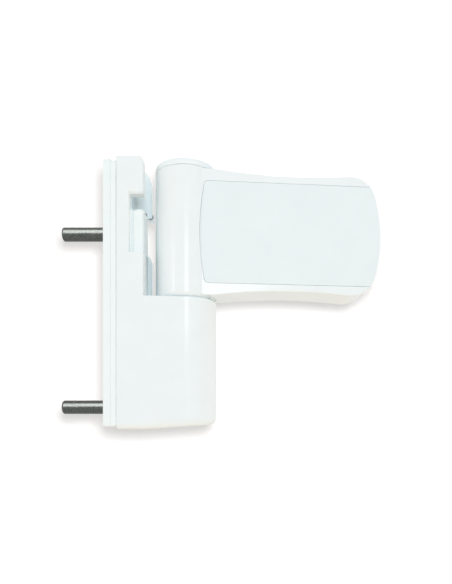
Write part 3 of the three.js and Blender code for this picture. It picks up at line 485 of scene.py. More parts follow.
def strip(s, node, top, seam):
    # runs up to the next piece, but for a seam too fine for a shadow
    low, high = nodeBox(node)
    outline = rounded((low.y, high.y), (low.z, high.z - top), s["corner"])
    tools = [rod("X", s["screwHole"], low.x - 1, high.x + 1, (0, 0, z)) for z in casting["screwHeights"]]
    for pin in supportPins:
        tools.append(rod("X", s["pinHole"], low.x - 1, high.x + 1, (0, 0, midHeight(pin))))
    if node == "base_plate":
        for screw in baseScrews:
            middle = (0, 0, midHeight(screw))
            sinkRadius, sinkDepth = s["baseScrewSink"]
            tools.append(rod("X", s["baseScrewHole"], low.x - 1, high.x + 1, middle))
            tools.append(rod("X", sinkRadius, low.x - 0.01, low.x + sinkDepth, middle, endRadius=s["baseScrewHole"]))
    return carve(prism("X", low.x, high.x + s["rise"] - seam, *outline, step=15), *tools)


for name, node, top, seam in (("packerStrip", "frame_packer", 0, strips["packerSeam"]),
                              ("basePlateStrip", "base_plate", 0.5, strips["baseSeam"])):
    low, high = nodeBox(node)
    aside, below, above = strips["roundedFrom"]
    finishPiece(strip(strips, node, top, seam), name, "frame", [node], "white_plastic", segments=3,
                rules=[(strips["edgeRadius"],
                        lambda v: abs(v.y) > aside or v.z > high.z - below or v.z < low.z + above)])

pins = {"radius": 2.5, "tip": 0.75, "face": 0.25, "dome": (0.08, 0.05), "chamfer": 0.4}
for name, node in zip(("supportPinUpper", "supportPinLower"), supportPins):
    low, high = nodeBox(node)
    r, t, length = pins["radius"], pins["tip"], high.x - low.x
    k = t * roundShare
    finishPiece(lathe("X", (low.x, 0, midHeight(node)), (0, 0),
                      [(r - t - pins["face"], pins["dome"][0]),
                       (r - k, k + pins["dome"][1], r, t + pins["dome"][1]), (r, length - pins["chamfer"]),
                       (r - pins["chamfer"], length), (0, length)]),
                name, "frame", [node], "pin_steel")

baseScrew = {"turns": 4, "pitch": 0.55, "core": 1.2, "crest": 1.5, "threadStart": 1.5, "headFoot": 1.3,
             "headEdge": (0.12, 0.22), "point": (0.9, 0.2), "socket": (2.1, 0.9)}
for name, node in zip(("baseScrewUpper", "baseScrewLower"), baseScrews):
    low, high = nodeBox(node)
    length, head = high.x - low.x, (high.z - low.z) / 2
    core, crest, (edge, rim), (point, taper) = (baseScrew[key] for key in ("core", "crest", "headEdge", "point"))
    middle = midHeight(node)
    thread = []
    for turn in range(baseScrew["turns"]):
        at = baseScrew["threadStart"] + turn * baseScrew["pitch"]
        thread += [(core, at), (crest, at + baseScrew["pitch"] / 2)]
    screw = lathe("X", (low.x, 0, middle), (0, 0),
                  [(head - edge, 0), (head, edge), (head, rim), (crest, baseScrew["headFoot"])] + thread +
                  [(core, length - taper), (point, length), (0, length)])
    width, depth = baseScrew["socket"]
    screw = carve(screw, hexRod("X", width, low.x - 1, low.x + depth, (0, 0, middle)))
    finishPiece(screw, name, "frame", [node], "screw_steel")
print("strips, pins and screws done")

# ---- strip in the channel
insert = {"round": 1.9, "farRound": 0.6, "endRadius": 0.5, "leg": (0.3, 1.2),
          "pad": (8.9, 13.8, -9.7), "padSpan": (22.4, 37.3), "padRound": 0.5,
          "groove": (10.35, 0.3), "legRoot": 2, "padRoot": 2,
          "padRounded": -2.8}  # the pad's top edge is rounded in front of this


def channelStrip(s):
    low, high = nodeBox("channel_insert")
    back, r, f = high.x - insertThickness, s["round"], s["farRound"]
    k, kf = r * roundShare, f * roundShare
    bar = prism("Z", low.z, high.z, (back, low.y + r),
                [(back + k, low.y + k, back + r, low.y), (high.x - r, low.y),
                 (high.x - k, low.y + k, high.x, low.y + r), (high.x, high.y - f),
                 (high.x - kf, high.y - kf, high.x - f, high.y), (back + f, high.y),
                 (back + kf, high.y - kf, back, high.y - f)], step=9)
    inset, wall = s["leg"]
    leg = slab((low.x, back + s["legRoot"]), (low.y + inset, low.y + inset + wall), (low.z, high.z))
    x0, x1, front = s["pad"]
    r = s["padRound"]
    k = r * roundShare
    pad = prism("Z", *s["padSpan"], (x0, front + r),
                [(x0 + k, front + k, x0 + r, front), (x1 - 2 * r, front),
                 (x1 - 2 * k, front + 2 * k, x1, front + 2 * r),
                 (x1, high.y - s["padRoot"]), (x0, high.y - s["padRoot"])], step=9)
    grooveX, width = s["groove"]
    groove = slab(about(grooveX, width / 2), (front - 1, front + width), (low.z - 1, high.z + 1))
    return join(carve(pad, groove), bar, leg)


insertTop = nodeBox("channel_insert")[1].z
finishPiece(channelStrip(insert), "channelStrip", "frame", ["channel_insert"], "white_plastic",
            rules=[(insert["endRadius"], lambda v: same(v.z, insertTop)),
                   (insert["endRadius"], lambda v: same(v.z, insert["padSpan"][1])
                    and v.y < insert["padRounded"])])

# ---- bearing and adjustment in the housing
bottomCap = {"radius": 6.2, "rimHeight": 1.9, "plug": (3.75, 3.1), "dimple": ((1.1, 0.25), (1.25, 0.12), (1.4, 0)),
             "foot": ((5.7, 0), (6.05, 0.15, 6.2, 0.5))}
dimple, plug = bottomCap["dimple"], bottomCap["plug"]
finishPiece(lathe("Z", (axisX, bushY, nodeBox("bottom_cap")[0].z), (0, dimple[0][1]),
                  [*dimple, *bottomCap["foot"], (bottomCap["radius"], bottomCap["rimHeight"]),
                   (plug[0], bottomCap["rimHeight"]), plug, (0, plug[1])]),
            "bottomCap", "frame", ["bottom_cap"], "white_plastic")

low, high = nodeBox("bush_lock_screw")
middle = (axisX, 0, midHeight("bush_lock_screw"))
lockScrew = {"radius": 2, "point": 0.3, "edge": 0.25, "socket": (2, 1.4)}
r, point, edge = lockScrew["radius"], lockScrew["point"], lockScrew["edge"]
finishPiece(carve(lathe("Y", middle, (0, low.y), [(r - point, low.y), (r, low.y + point), (r, high.y - edge),
                                                  (r - edge, high.y), (0, high.y)]),
                  hexRod("Y", lockScrew["socket"][0], high.y - lockScrew["socket"][1], high.y + 1, middle)),
            "bushLockScrew", "frame", ["bush_lock_screw"], "screw_steel")

bush = {"chamfer": 0.4, "bore": 6.4, "slot": (2.4, 1.8, 12)}
radius, height = (bushHigh.x - bushLow.x) / 2, bushHigh.z - bushLow.z
slotWidth, slotDepth, slotReach = bush["slot"]
finishPiece(carve(lathe("Z", (axisX, bushY, bushLow.z), (0, 0),
                        turned(radius, height, bush["chamfer"]) + [(0, height)]),
                  rod("Z", bush["bore"], bushLow.z - 1, bushHigh.z + 1, (axisX, 0, 0), sides=72),
                  slab(about(axisX, slotReach), about(bushY, slotWidth / 2),
                       (bushHigh.z - slotDepth, bushHigh.z + 1))),
            "pressureBush", "pressure_bush", ["pressure_bush"], "zinc")


def sleeve(inner, outer, foot, top, chamfer=0.3):
    return lathe("Z", (axisX, 0, 0), (inner + chamfer, foot),
                 [(outer - chamfer, foot), (outer, foot + chamfer), (outer, top - chamfer), (outer - chamfer, top),
                  (inner + chamfer, top), (inner, top - chamfer), (inner, foot + chamfer),
                  (inner + chamfer, foot)])


# running fits, by radius: the pin's bore in every sleeve, and the outsides of the liner and the knuckle bushes
bearing = {"pinBore": 5.15, "linerRadius": 6.25, "bushRadius": 7.5}
low, high = nodeBox("pin_liner")
finishPiece(sleeve(bearing["pinBore"], bearing["linerRadius"], low.z, high.z), "pinLiner", "pin_liner",
            ["pin_liner"], "acetal")

hingePin = {"radius": 5, "face": 4.1, "via": (4.85, 0.35), "tip": 1, "centreMark": (0.9, 0.2)}
length, r, face, (viaR, viaZ) = (pinHigh.z - pinLow.z, hingePin["radius"], hingePin["face"], hingePin["via"])
tip, (mark, markDepth) = hingePin["tip"], hingePin["centreMark"]
finishPiece(lathe("Z", (axisX, 0, pinLow.z), (0, markDepth),
                  [(mark, 0), (face, 0), (viaR, viaZ, r, tip), (r, length - tip), (viaR, length - viaZ, face, length),
                   (mark, length), (0, length - markDepth)]),
            "hingePin", "hinge_pin", ["hinge_pin"], "screw_steel")

thrustPad = {"radius": 4, "height": 1.7, "chamfer": 0.3, "hollow": (0.8, 0.15)}
height, (hollow, hollowDepth) = thrustPad["height"], thrustPad["hollow"]
finishPiece(lathe("Z", (axisX, bushY, nodeBox("thrust_pad")[0].z), (0, 0),
                  turned(thrustPad["radius"], height, thrustPad["chamfer"]) +
                  [(hollow, height), (0, height - hollowDepth)]),
            "thrustPad", "thrust_pad", ["thrust_pad"], "screw_steel")

heightScrew = {"pitch": 1.25, "depth": 0.5, "turns": 9, "start": 0.8, "lead": 0.6, "crest": (0.45, 0.55),
               "end": (0.5, 0.6, 1.1), "socket": (4, 4.5)}
low, high = nodeBox("height_screw")
r, length = (high.x - low.x) / 2, high.z - low.z
thread = []
for turn in range(heightScrew["turns"]):
    at = heightScrew["start"] + turn * heightScrew["pitch"]
    thread.append((r - heightScrew["depth"], at))
    thread += [(r, at + heightScrew["pitch"] * share) for share in heightScrew["crest"]]
screw = lathe("Z", (axisX, bushY, low.z), (0, 0),
              [(r - heightScrew["lead"], 0)] + thread +
              [(r - heightScrew["end"][0], length - heightScrew["end"][1]), (r - heightScrew["end"][2], length),
               (0, length)])
width, depth = heightScrew["socket"]
finishPiece(carve(screw, hexRod("Z", width, low.z - 1, low.z + depth, (axisX, bushY, 0))),
            "heightScrew", "height_screw", ["height_screw"], "screw_steel")
print("bearing and adjustment done")

# ---- leaf: drawn in its own frame, with the hinge axis at the origin and +X along the leaf
leaf = {"length": 70.2, "front": -9.4, "back": 5.8, "rootReach": 9.4, "rootHalf": 22.35, "waistHalf": 20.45,
        "tipHalf": 21.4, "endHalf": 14, "endRadius": 52, "cornerReach": 7.6,
        "rimRadius": 0.45, "rimFrom": 18.4, "lipRadius": 0.12, "lipTo": 18.1,  # half heights between which no edge lies
        "backRadius": 0.7, "backFrom": (17, 66.2), "plateEdge": 0.2, "seamRadius": 0.15,
        "footRadius": 1.4, "footDrop": 0.27, "recessFloor": -6.8, "web": (1, 2.8), "plateSpace": (12.65, 65.75, 16.8),
        "pocket": (11.6, 16.35, 49), "bearing": (53.8, 56.6, 5.2, -6.65), "relief": (8.6, 10.8, 13.5),
        "bushBore": (7.8, 49.65), "flangeBore": (9.5, 1.9), "plugBore": (7.9, 50.65),  # radius, and how high
        "plateCorner": 3.3, "endSlot": 3, "clampSlot": 2.7, "screwSlot": 4}
cover = {"half": 17.95, "start": 4.87, "bow": 1.8, "corner": 1.5, "back": -7.1, "gap": 0.06, "edgeRadius": 0.14,
         "endInset": 0.1, "clips": (23.6, 50.2), "clipHeights": (14.55, -16.05), "clipSize": (5, 4, 1.5)}
m = leafMiddle


def leafCorner(s):
    # ends of the round corner of the leaf, and a point on the way between them
    angle = math.asin(s["endHalf"] / s["endRadius"])
    endX = s["length"] - s["endRadius"] + s["endRadius"] * math.cos(angle)
    cornerX = endX - (s["tipHalf"] - s["endHalf"]) * math.tan(angle)
    tipX = cornerX - s["cornerReach"]
    via = 0.25 * tipX + 0.5 * cornerX + 0.25 * endX, 0.75 * s["tipHalf"] + 0.25 * s["endHalf"]
    return (tipX, s["tipHalf"]), via, (endX, s["endHalf"])


def leafOutline(s):
    (tipX, tipHalf), (viaX, viaHalf), (endX, endHalf) = leafCorner(s)
    waistX = (s["rootReach"] + tipX) / 2
    return (0, m - s["rootHalf"]), [
        (s["rootReach"], m - s["rootHalf"]), (waistX, m - s["waistHalf"], tipX, m - tipHalf),
        (viaX, m - viaHalf, endX, m - endHalf), (s["length"], m, endX, m + endHalf),
        (viaX, m + viaHalf, tipX, m + tipHalf), (waistX, m + s["waistHalf"], s["rootReach"], m + s["rootHalf"]),
        (0, m + s["rootHalf"])]


def coverOutline(s, gap):
    half, start, corner = s["half"] + gap, s["start"] - gap, s["corner"] + gap
    cornerX = start + s["bow"]
    bowX = cornerX - corner / 6
    viaX, viaHalf = cornerX + corner * (0.25 - 1 / 24), half - 0.25 * corner
    farX = leaf["length"] + 2
    return (farX, m - half), [(farX, m + half), (cornerX + corner, m + half),
                              (viaX, m + viaHalf, bowX, m + half - corner), (start, m, bowX, m - half + corner),
                              (viaX, m - viaHalf, cornerX + corner, m - half)]


plate = {"middle": 39.2, "length": 46.5, "half": 16.5, "front": 3.1, "back": 6.0, "corner": 3, "travel": 3,
         "screwHole": 2.3, "spread": 17.4, "rise": 11.5, "lug": (7, 4, -6.65), "clampHole": 2.55, "edgeRadius": 0.35,
         "lateralHole": (2.65, 5)}
doorHoles = [(plate["middle"] + dx * plate["spread"], m + dz * plate["rise"]) for dx in (-1, 1) for dz in (-1, 1)]
clampHeights = {"upper": m + plate["rise"], "lower": m - plate["rise"]}
lateral = {"y": -2.8, "radius": 2.5, "threadStart": 27.8, "headStart": 56.9, "headRadius": 3.5, "headLength": 3.2,
           "pitch": 0.8, "clip": (52.7, 0.8, 3.4), "groove": 0.6, "socket": (3, 2),
           "threadDepth": 0.42, "threadLead": 0.6, "threadEnd": 1.2, "clipPlay": 0.3, "headEdge": (0.2, 0.4),
           "clipOpening": 8, "clipGrip": 0.15, "clipRadius": 0.12}


def openSlot(y, radius):
    # outline of a slot with a round back, open at the front of the leaf
    openY = leaf["front"] - 1
    return (openY, m - radius), [(y, m - radius), (y + radius, m, y, m + radius), (openY, m + radius)]


def leafCasting(s):
    foot = knuckleFoot - s["footDrop"]
    flag = prism("Y", s["front"], s["back"], *leafOutline(s), step=1.5)
    body = join(flag, rod("Z", barrelRadius, foot, knuckleTop, (0, 0, 0), sides=120))
    x0, half, radius = s["pocket"]
    centre = s["length"] - s["endRadius"]
    pocketX = centre + math.sqrt(radius ** 2 - half ** 2)
    web0, web1 = s["web"]
    p0, p1, ph = s["plateSpace"]
    body = carve(body, prism("Y", s["front"] - 1, s["recessFloor"], *coverOutline(cover, cover["gap"]), step=3),
                 prism("Y", s["recessFloor"] - 1, web0, (x0, m - half),
                       [(pocketX, m - half), (centre + radius, m, pocketX, m + half), (x0, m + half)], step=2),
                 prism("Y", web1, s["back"] + 1, *rounded((p0, p1), about(m, ph), s["plateCorner"]),
                       step=10))
    b0, b1, bearingHalf, bearingFront = s["bearing"]
    body = join(body, slab((b0, b1), (bearingFront, web0 + 1), about(m, bearingHalf)))
    reliefStart, reliefRadius, reliefTop = s["relief"]
    reliefHalf = math.sqrt(reliefRadius ** 2 - reliefStart ** 2)
    t, lugLength, lugHalf = plate["travel"], plate["lug"][0], plate["lug"][1]
    windowHalf = lugLength / 2 + t + seatGap
    tools = [
        rod("Z", s["bushBore"][0], foot - 1, s["bushBore"][1], (0, 0, 0), sides=64),
        rod("Z", s["flangeBore"][0], foot - 1, knuckleFoot + s["flangeBore"][1], (0, 0, 0), sides=64),
        rod("Z", s["plugBore"][0], s["plugBore"][1], knuckleTop + 1, (0, 0, 0), sides=64),
        prism("Z", foot - 1, reliefTop, (reliefStart, -reliefHalf),
              [(reliefRadius, 0, reliefStart, reliefHalf)], step=6),
        prism("X", b0 - 1, b1 + 1, *openSlot(lateral["y"], lateral["radius"] + seatGap), step=10),
        prism("X", centre + radius - 1, s["length"] + 1, *openSlot(lateral["y"], s["endSlot"]), step=10),
        slab(about(plate["middle"], windowHalf), (web0 - 1, web1 + 1), about(m, lugHalf + seatGap))]
    for z in clampHeights.values():
        tools.append(prism("Y", web0 - 1, web1 + 1, *slot(about(plate["middle"], t), z, s["clampSlot"]), step=12))
    for x, z in doorHoles:
        tools.append(prism("Y", web0 - 1, web1 + 1, *slot(about(x, t), z, s["screwSlot"]), step=10))
    return carve(body, *tools)


def onBarrel(v):
    return abs(math.hypot(v.x, v.y) - barrelRadius) < 0.02


finishPiece(
    leafCasting(leaf), "leafCasting", "leaf", ["leaf_body"], "white_coat", place=leafPlace,
    rules=[(leaf["footRadius"], lambda v: onBarrel(v) and v.z < knuckleFoot + 0.01),
           (leaf["seamRadius"], lambda v: onBarrel(v) and v.z > knuckleTop - 0.01),
           (leaf["rimRadius"], lambda v: same(v.y, leaf["front"]) and abs(v.z - m) > leaf["rimFrom"]),
           (leaf["lipRadius"], lambda v: same(v.y, leaf["front"]) and abs(v.z - m) < leaf["lipTo"]),
           (leaf["backRadius"], lambda v: same(v.y, leaf["back"])
            and (abs(v.z - m) > leaf["backFrom"][0] or v.x > leaf["backFrom"][1])),
           (leaf["plateEdge"], lambda v: same(v.y, leaf["back"]))])


def coverPlate(s):
    # its free end follows the end of the leaf
    half, inset = s["half"], s["endInset"]
    tip, via, end = leafCorner(leaf)
    centre = arcThrough(tip, via, end)[0]
    radius = math.dist(tip, centre[:2])
    first = math.asin((half - centre[1]) / radius)
    last = math.asin((end[1] - centre[1]) / radius)
    corner = [(centre[0] - inset + radius * math.cos(t), centre[1] + radius * math.sin(t))
              for t in (first, (first + last) / 2, last)]
    strokes = coverOutline(s, 0)[1]
    bar = prism("Y", leaf["front"], s["back"], (corner[0][0], m + half),
                strokes[1:] + [(corner[0][0], m - half),
                               (corner[1][0], m - corner[1][1], corner[2][0], m - corner[2][1]),
                               (leaf["length"] - inset, m, corner[2][0], m + corner[2][1]),
                               (corner[1][0], m + corner[1][1], corner[0][0], m + half)], step=3)
    clips = []
    length, depth, height = s["clipSize"]
    for x in s["clips"]:
        for z in s["clipHeights"]:
            clips.append(slab((x, x + length), (s["back"] - 0.5, s["back"] + depth), (m + z, m + z + height)))
    return join(bar, *clips)


finishPiece(coverPlate(cover), "coverPlate", "leaf", ["leaf_cover"], "white_plastic", place=leafPlace, material=satin,
            rules=[(cover["edgeRadius"], lambda v: same(v.y, leaf["front"]))])

cap = {"rounding": 1.3, "seam": 0.1, "edge": 0.12, "plugRadius": 7.6, "plugLength": 1.2, "crown": 0.15}
seat = knuckleTop + cap["seam"]
crown = nodeBox("top_cap")[1].z
r, rd = barrelRadius, cap["rounding"]
k = roundShare
top = crown - cap["crown"]
shoulder = top - rd
plugFoot = knuckleTop - cap["plugLength"]
finishPiece(lathe("Z", (axisX, 0, 0), (0, plugFoot),
                  [(cap["plugRadius"], plugFoot), (cap["plugRadius"], seat), (r - cap["edge"], seat),
                   (r, seat + cap["edge"]), (r, shoulder), (r - rd * k, top - rd * k, r - rd, top),
                   (r / 2, top + cap["crown"] * 0.75, 0, crown)], sides=120, step=12),
            "topCap", "leaf", ["top_cap"], "white_plastic")

lowerBush = {"flange": (9.2, 1.6), "height": 13, "chamfer": 0.3}
(flange, flangeTop), height, ch = lowerBush["flange"], lowerBush["height"], lowerBush["chamfer"]
bore, r = bearing["pinBore"], bearing["bushRadius"]
finishPiece(lathe("Z", (axisX, 0, nodeBox("knuckle_bush_lower")[0].z), (bore + ch, 0),
                  [(flange - ch, 0), (flange, ch), (flange, flangeTop), (r, flangeTop), (r, height - ch),
                   (r - ch, height), (bore + ch, height), (bore, height - ch), (bore, ch), (bore + ch, 0)]),
            "knuckleBushLower", "leaf", ["knuckle_bush_lower"], "acetal")
low, high = nodeBox("knuckle_bush_upper")
finishPiece(sleeve(bore, r, low.z, high.z), "knuckleBushUpper", "leaf", ["knuckle_bush_upper"], "acetal")
pinSeat = {"height": 1.8, "chamfer": 0.3}
finishPiece(lathe("Z", (axisX, 0, nodeBox("pin_seat")[0].z), (0, 0),
                  turned(r, pinSeat["height"], pinSeat["chamfer"]) + [(0, pinSeat["height"])]),
            "pinSeat", "leaf", ["pin_seat"], "screw_steel")
print("leaf done")

# ---- door plate and side adjustment
p = plate
lugLength, lugHalf, lugFront = p["lug"]
outline = rounded(about(p["middle"], p["length"] / 2), about(m, p["half"]), p["corner"])
sheet = prism("Y", p["front"], p["back"], *outline, step=10)
rim = [e for e in sheet.edges if all(same(v.co.y, p["back"]) for v in e.verts)]
bmesh.ops.bevel(sheet, geom=rim, offset=p["edgeRadius"], segments=1, affect="EDGES")
blank = join(sheet,
             slab(about(p["middle"], lugLength / 2), (lugFront, p["front"] + 1), about(m, lugHalf)))
holeRadius, holeReach = p["lateralHole"]
tools = [rod("X", holeRadius, *about(p["middle"], holeReach), (0, lateral["y"], m))]
for z in clampHeights.values():
    tools.append(rod("Y", p["clampHole"], p["front"] - 1, p["back"] + 1, (p["middle"], 0, z)))
for x, z in doorHoles:
    tools.append(rod("Y", p["screwHole"], p["front"] - 1, p["back"] + 1, (x, 0, z)))
finishPiece(carve(blank, *tools), "doorPlate", "door_plate", ["door_plate"], "zinc", place=leafPlace)

s = lateral
lead, play, (edge, rim) = s["threadLead"], s["clipPlay"], s["headEdge"]
turns = int((s["clip"][0] - s["threadEnd"] - s["threadStart"]) / s["pitch"])
thread = []
for turn in range(turns):
    at = s["threadStart"] + lead + turn * s["pitch"]
    thread += [(s["radius"] - s["threadDepth"], at), (s["radius"], at + s["pitch"] / 2)]
r, c0, c1 = s["radius"], s["clip"][0], s["clip"][0] + s["clip"][1]
core, head, headStart, headEnd = r - s["groove"], s["headRadius"], s["headStart"], s["headStart"] + s["headLength"]
screw = lathe("X", (0, s["y"], m), (0, s["threadStart"]),
              [(r - lead, s["threadStart"])] + thread +
              [(r, c0 - play), (core, c0 - play), (core, c1 + play), (r, c1 + play), (r, headStart),
               (head - edge, headStart), (head, headStart + edge), (head, headEnd - rim), (head - rim, headEnd),
               (0, headEnd)])
finishPiece(carve(screw, hexRod("X", s["socket"][0], headEnd - s["socket"][1], headEnd + 1, (0, s["y"], m))),
            "lateralScrew", "lateral_screw", ["lateral_screw"], "screw_steel", place=leafPlace)

inner, openY = core + s["clipGrip"], s["y"] - s["clipOpening"]
clip = carve(rod("X", s["clip"][2], c0, c1, (0, s["y"], m), sides=64),
             prism("X", c0 - 1, c1 + 1, (openY, m - inner),
                   [(s["y"], m - inner), (s["y"] + inner, m, s["y"], m + inner), (openY, m + inner)], step=10))
finishPiece(clip, "screwCirclip", "lateral_screw", ["screw_circlip"], "screw_steel", place=leafPlace,
            segments=2, rules=[(s["clipRadius"], lambda v: True)])

clamp = {"radius": 2.4, "headRadius": 4.2, "headFront": -2.8, "headHeight": 2.3, "end": 5.5, "socket": (4, 1.3),
         "headEdge": (0.5, 0.15), "endChamfer": 0.4, "washer": (4.5, -0.2, 0.7), "washerHole": 2.6, "washerEdge": 0.15}
for suffix, z in clampHeights.items():
    c, place = clamp, (p["middle"], 0, z)
    hf, hb, hr, r = c["headFront"], c["headFront"] + c["headHeight"], c["headRadius"], c["radius"]
    (edge, via), end, chamfer = c["headEdge"], c["end"], c["endChamfer"]
    screw = lathe("Y", place, (0, hf),
                  [(hr - edge, hf), (hr - via, hf + via, hr, hf + edge), (hr, hb), (r, hb), (r, end - chamfer),
                   (r - chamfer, end), (0, end)])
    screw = carve(screw, hexRod("Y", c["socket"][0], hf - 1, hf + c["socket"][1], place))
    finishPiece(screw, "clampScrew" + suffix.capitalize(), "door_plate", ["clamp_screw_" + suffix], "screw_steel",
                place=leafPlace)
    (wr, w0, w1), hole, edge = c["washer"], c["washerHole"], c["washerEdge"]
    finishPiece(lathe("Y", place, (hole, w0), [(wr - edge, w0), (wr, w0 + edge), (wr, w1), (hole, w1), (hole, w0)]),
                "clampWasher" + suffix.capitalize(), "door_plate", ["clamp_washer_" + suffix], "screw_steel",
                place=leafPlace)
print("door plate done")

# ---- camera: level, with its picture shifted, so that uprights stay upright
camera = {"x": 51.0, "y": -205.0, "z": -38.3, "lens": 34.5, "shiftX": -0.041, "shiftY": 0.2286,
          "sensor": 36, "clip": (0.01, 10)}
cameraData = bpy.data.cameras.new("camera")
cameraObject = placed("camera", cameraData)
cameraObject.location = Vector((camera["x"], camera["y"], camera["z"])) * mm
cameraObject.rotation_euler = (math.radians(90), 0, 0)
cameraData.lens = camera["lens"]
cameraData.sensor_width = camera["sensor"]
cameraData.shift_x = camera["shiftX"]
cameraData.shift_y = camera["shiftY"]
cameraData.clip_start, cameraData.clip_end = camera["clip"]
scene.camera = cameraObject

# ---- light and backdrop
# where the lamps point and from how many metres, how bright the room is as a light, at the sides, in front and
# above, and its colour from below
studio = {"centre": (45, 0, 9), "lampDistance": 1, "side": 1.12, "front": 0.15, "zenith": 0.6, "warmBelow": "#FFF0DC",
          "belowFull": -0.5}
# the two fills leave out the wall, and pinLamp lights only the support pins (light linking, set up after the wall)
lamps = {"key": {"azimuth": 7, "elevation": 14.4, "size": (0.2, 0.215), "radiance": 4.5},
         "side": {"azimuth": -41, "elevation": 13, "size": (0.09, 0.13), "radiance": 5.5},
         "fill": {"azimuth": 14, "elevation": 4, "size": (0.25, 0.6), "radiance": 7.4,
                  "colour": "#EDF8FF"},
         "fillLeft": {"azimuth": -50, "elevation": 5, "size": (0.3, 0.5), "radiance": 2.4},
         "pinLamp": {"azimuth": -26, "elevation": 32, "size": (0.5, 0.85), "radiance": 8}}

for name, lamp in lamps.items():
    light = bpy.data.lights.new(name, "AREA")
    light.shape = "RECTANGLE"
    light.size, light.size_y = lamp["size"]
    light.energy = lamp["radiance"] * math.pi * light.size * light.size_y
    light.color = srgb(lamp.get("colour", "#FFFFFF"))[:3]
    hung = placed(name, light)
    around, up = math.radians(lamp["azimuth"]), math.radians(lamp["elevation"])
    away = Vector((math.sin(around) * math.cos(up), -math.cos(around) * math.cos(up), math.sin(up)))
    hung.location = Vector(studio["centre"]) * mm + away * studio["lampDistance"]
    hung.rotation_euler = away.to_track_quat("Z", "Y").to_euler()
    hung.visible_camera = False

# A white wall out of the leaf's reach, seen from the front only. Its own small lamp, just above and beside the
# camera's place, draws the object's shadow on it and lights nothing else.
backdrop = {"y": 90, "reach": 330, "paint": "#BCBCBC", "glow": 0.36, "level": 0.85,
            "lampAside": 4.5, "lampAbove": 10, "lampRadius": 9, "lampPower": 38}
bm = bmesh.new()
bmesh.ops.create_grid(bm, x_segments=1, y_segments=1, size=backdrop["reach"] * mm)
behind = Vector((studio["centre"][0], backdrop["y"], studio["centre"][2])) * mm
upright = Matrix.Rotation(math.radians(90), 4, "X")
move(bm, Matrix.Translation(behind) @ upright)
wall = onTable(bm, "backdrop")
paper, tree = emptyMaterial("whitePaper")
matt = addNode(tree, "ShaderNodeBsdfDiffuse", inputs={"Color": srgb(backdrop["paint"])})
glow = addNode(tree, "ShaderNodeEmission", inputs={"Strength": backdrop["glow"]})
both = addNode(tree, "ShaderNodeAddShader", links={0: matt.outputs[0], 1: glow.outputs[0]})
lit = addNode(tree, "ShaderNodeEmission", inputs={"Strength": backdrop["level"]})
path = addNode(tree, "ShaderNodeLightPath")
shown = addNode(tree, "ShaderNodeMixShader",
                links={0: path.outputs["Is Camera Ray"], 1: lit.outputs[0], 2: both.outputs[0]})
side = addNode(tree, "ShaderNodeNewGeometry")
clear = addNode(tree, "ShaderNodeBsdfTransparent")
oneSided = addNode(tree, "ShaderNodeMixShader",
                   links={0: side.outputs["Backfacing"], 1: shown.outputs[0], 2: clear.outputs[0]})
addNode(tree, "ShaderNodeOutputMaterial", links={"Surface": oneSided.outputs[0]})
wall.data.materials.append(paper)
wall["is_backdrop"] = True
bulb = bpy.data.lights.new("wallLamp", "POINT")
bulb.shadow_soft_size = backdrop["lampRadius"] * mm
tree = emptyTree(bulb)
even = addNode(tree, "ShaderNodeLightFalloff", inputs={"Strength": backdrop["lampPower"]})
beam = addNode(tree, "ShaderNodeEmission", links={"Strength": even.outputs["Constant"]})
addNode(tree, "ShaderNodeOutputLight", links={0: beam.outputs[0]})
bulb.energy = 1
wallLamp = placed("wallLamp", bulb)
wallLamp.location = cameraObject.location + Vector((backdrop["lampAside"], 0, backdrop["lampAbove"])) * mm
wallLamp.visible_camera = False


def lightOnly(name, lampNames, objects, leftOut=False):
    group = bpy.data.collections.new(name)
    for obj in objects:
        group.objects.link(obj)
    if leftOut:
        group.collection_objects[0].light_linking.link_state = "EXCLUDE"
    for lampName in lampNames:
        bpy.data.objects[lampName].light_linking.receiver_collection = group
        if leftOut:
            bpy.data.objects[lampName].visible_glossy = False


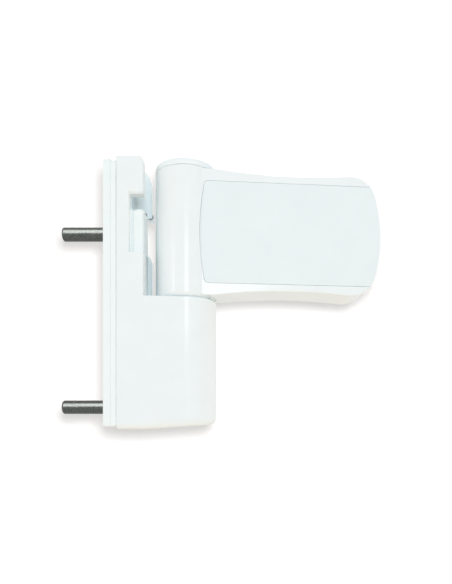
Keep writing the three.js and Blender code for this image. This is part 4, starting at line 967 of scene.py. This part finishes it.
lightOnly("onlyWall", ["wallLamp"], [wall])
lightOnly("notWall", ["fill", "fillLeft"], [wall], leftOut=True)
lightOnly("onlyPins", ["pinLamp"], [bpy.data.objects["supportPinUpper"], bpy.data.objects["supportPinLower"]])

# The room is white to the camera and in reflections, and as a light brighter to the sides than in front
world = bpy.data.worlds.new("room")
scene.world = world
tree = emptyTree(world)
path = addNode(tree, "ShaderNodeLightPath")


def maths(operation, first, second):
    return addNode(tree, "ShaderNodeMath", {"operation": operation}, links={0: first, 1: second})


seen = maths("MAXIMUM", path.outputs["Is Camera Ray"], path.outputs["Is Glossy Ray"])
place = addNode(tree, "ShaderNodeTexCoord")
split = addNode(tree, "ShaderNodeSeparateXYZ", links={0: place.outputs["Generated"]})
forward = maths("MULTIPLY", split.outputs["Y"], split.outputs["Y"])
level = addNode(tree, "ShaderNodeMapRange", inputs={"To Min": studio["side"], "To Max": studio["front"]},
                links={"Value": forward.outputs[0]})
upward = addNode(tree, "ShaderNodeMapRange", inputs={"To Min": 1, "To Max": studio["zenith"]},
                 links={"Value": split.outputs["Z"]})
dimmed = maths("MULTIPLY", level.outputs[0], upward.outputs[0])
strength = addNode(tree, "ShaderNodeMix", {"data_type": "FLOAT"},
                   links={"Factor": seen.outputs[0], "A": dimmed.outputs[0]})
strength.inputs["B"].default_value = 1
below = addNode(tree, "ShaderNodeMapRange", inputs={"From Min": 0, "From Max": studio["belowFull"]},
                links={"Value": split.outputs["Z"]})
unseen = maths("SUBTRACT", below.outputs[0], seen.outputs[0])
tint = addNode(tree, "ShaderNodeMix", {"data_type": "RGBA", "clamp_factor": True},
               links={0: unseen.outputs[0]})
tint.inputs[6].default_value, tint.inputs[7].default_value = (1, 1, 1, 1), srgb(studio["warmBelow"])
background = addNode(tree, "ShaderNodeBackground",
                     links={"Color": tint.outputs[2], "Strength": strength.outputs["Result"]})
addNode(tree, "ShaderNodeOutputWorld", links={"Surface": background.outputs[0]})

scene.cycles.diffuse_bounces = 12  # white walls face each other in the channel
scene.cycles.max_bounces = 16
scene.view_settings.view_transform = "Standard"
low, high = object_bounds()
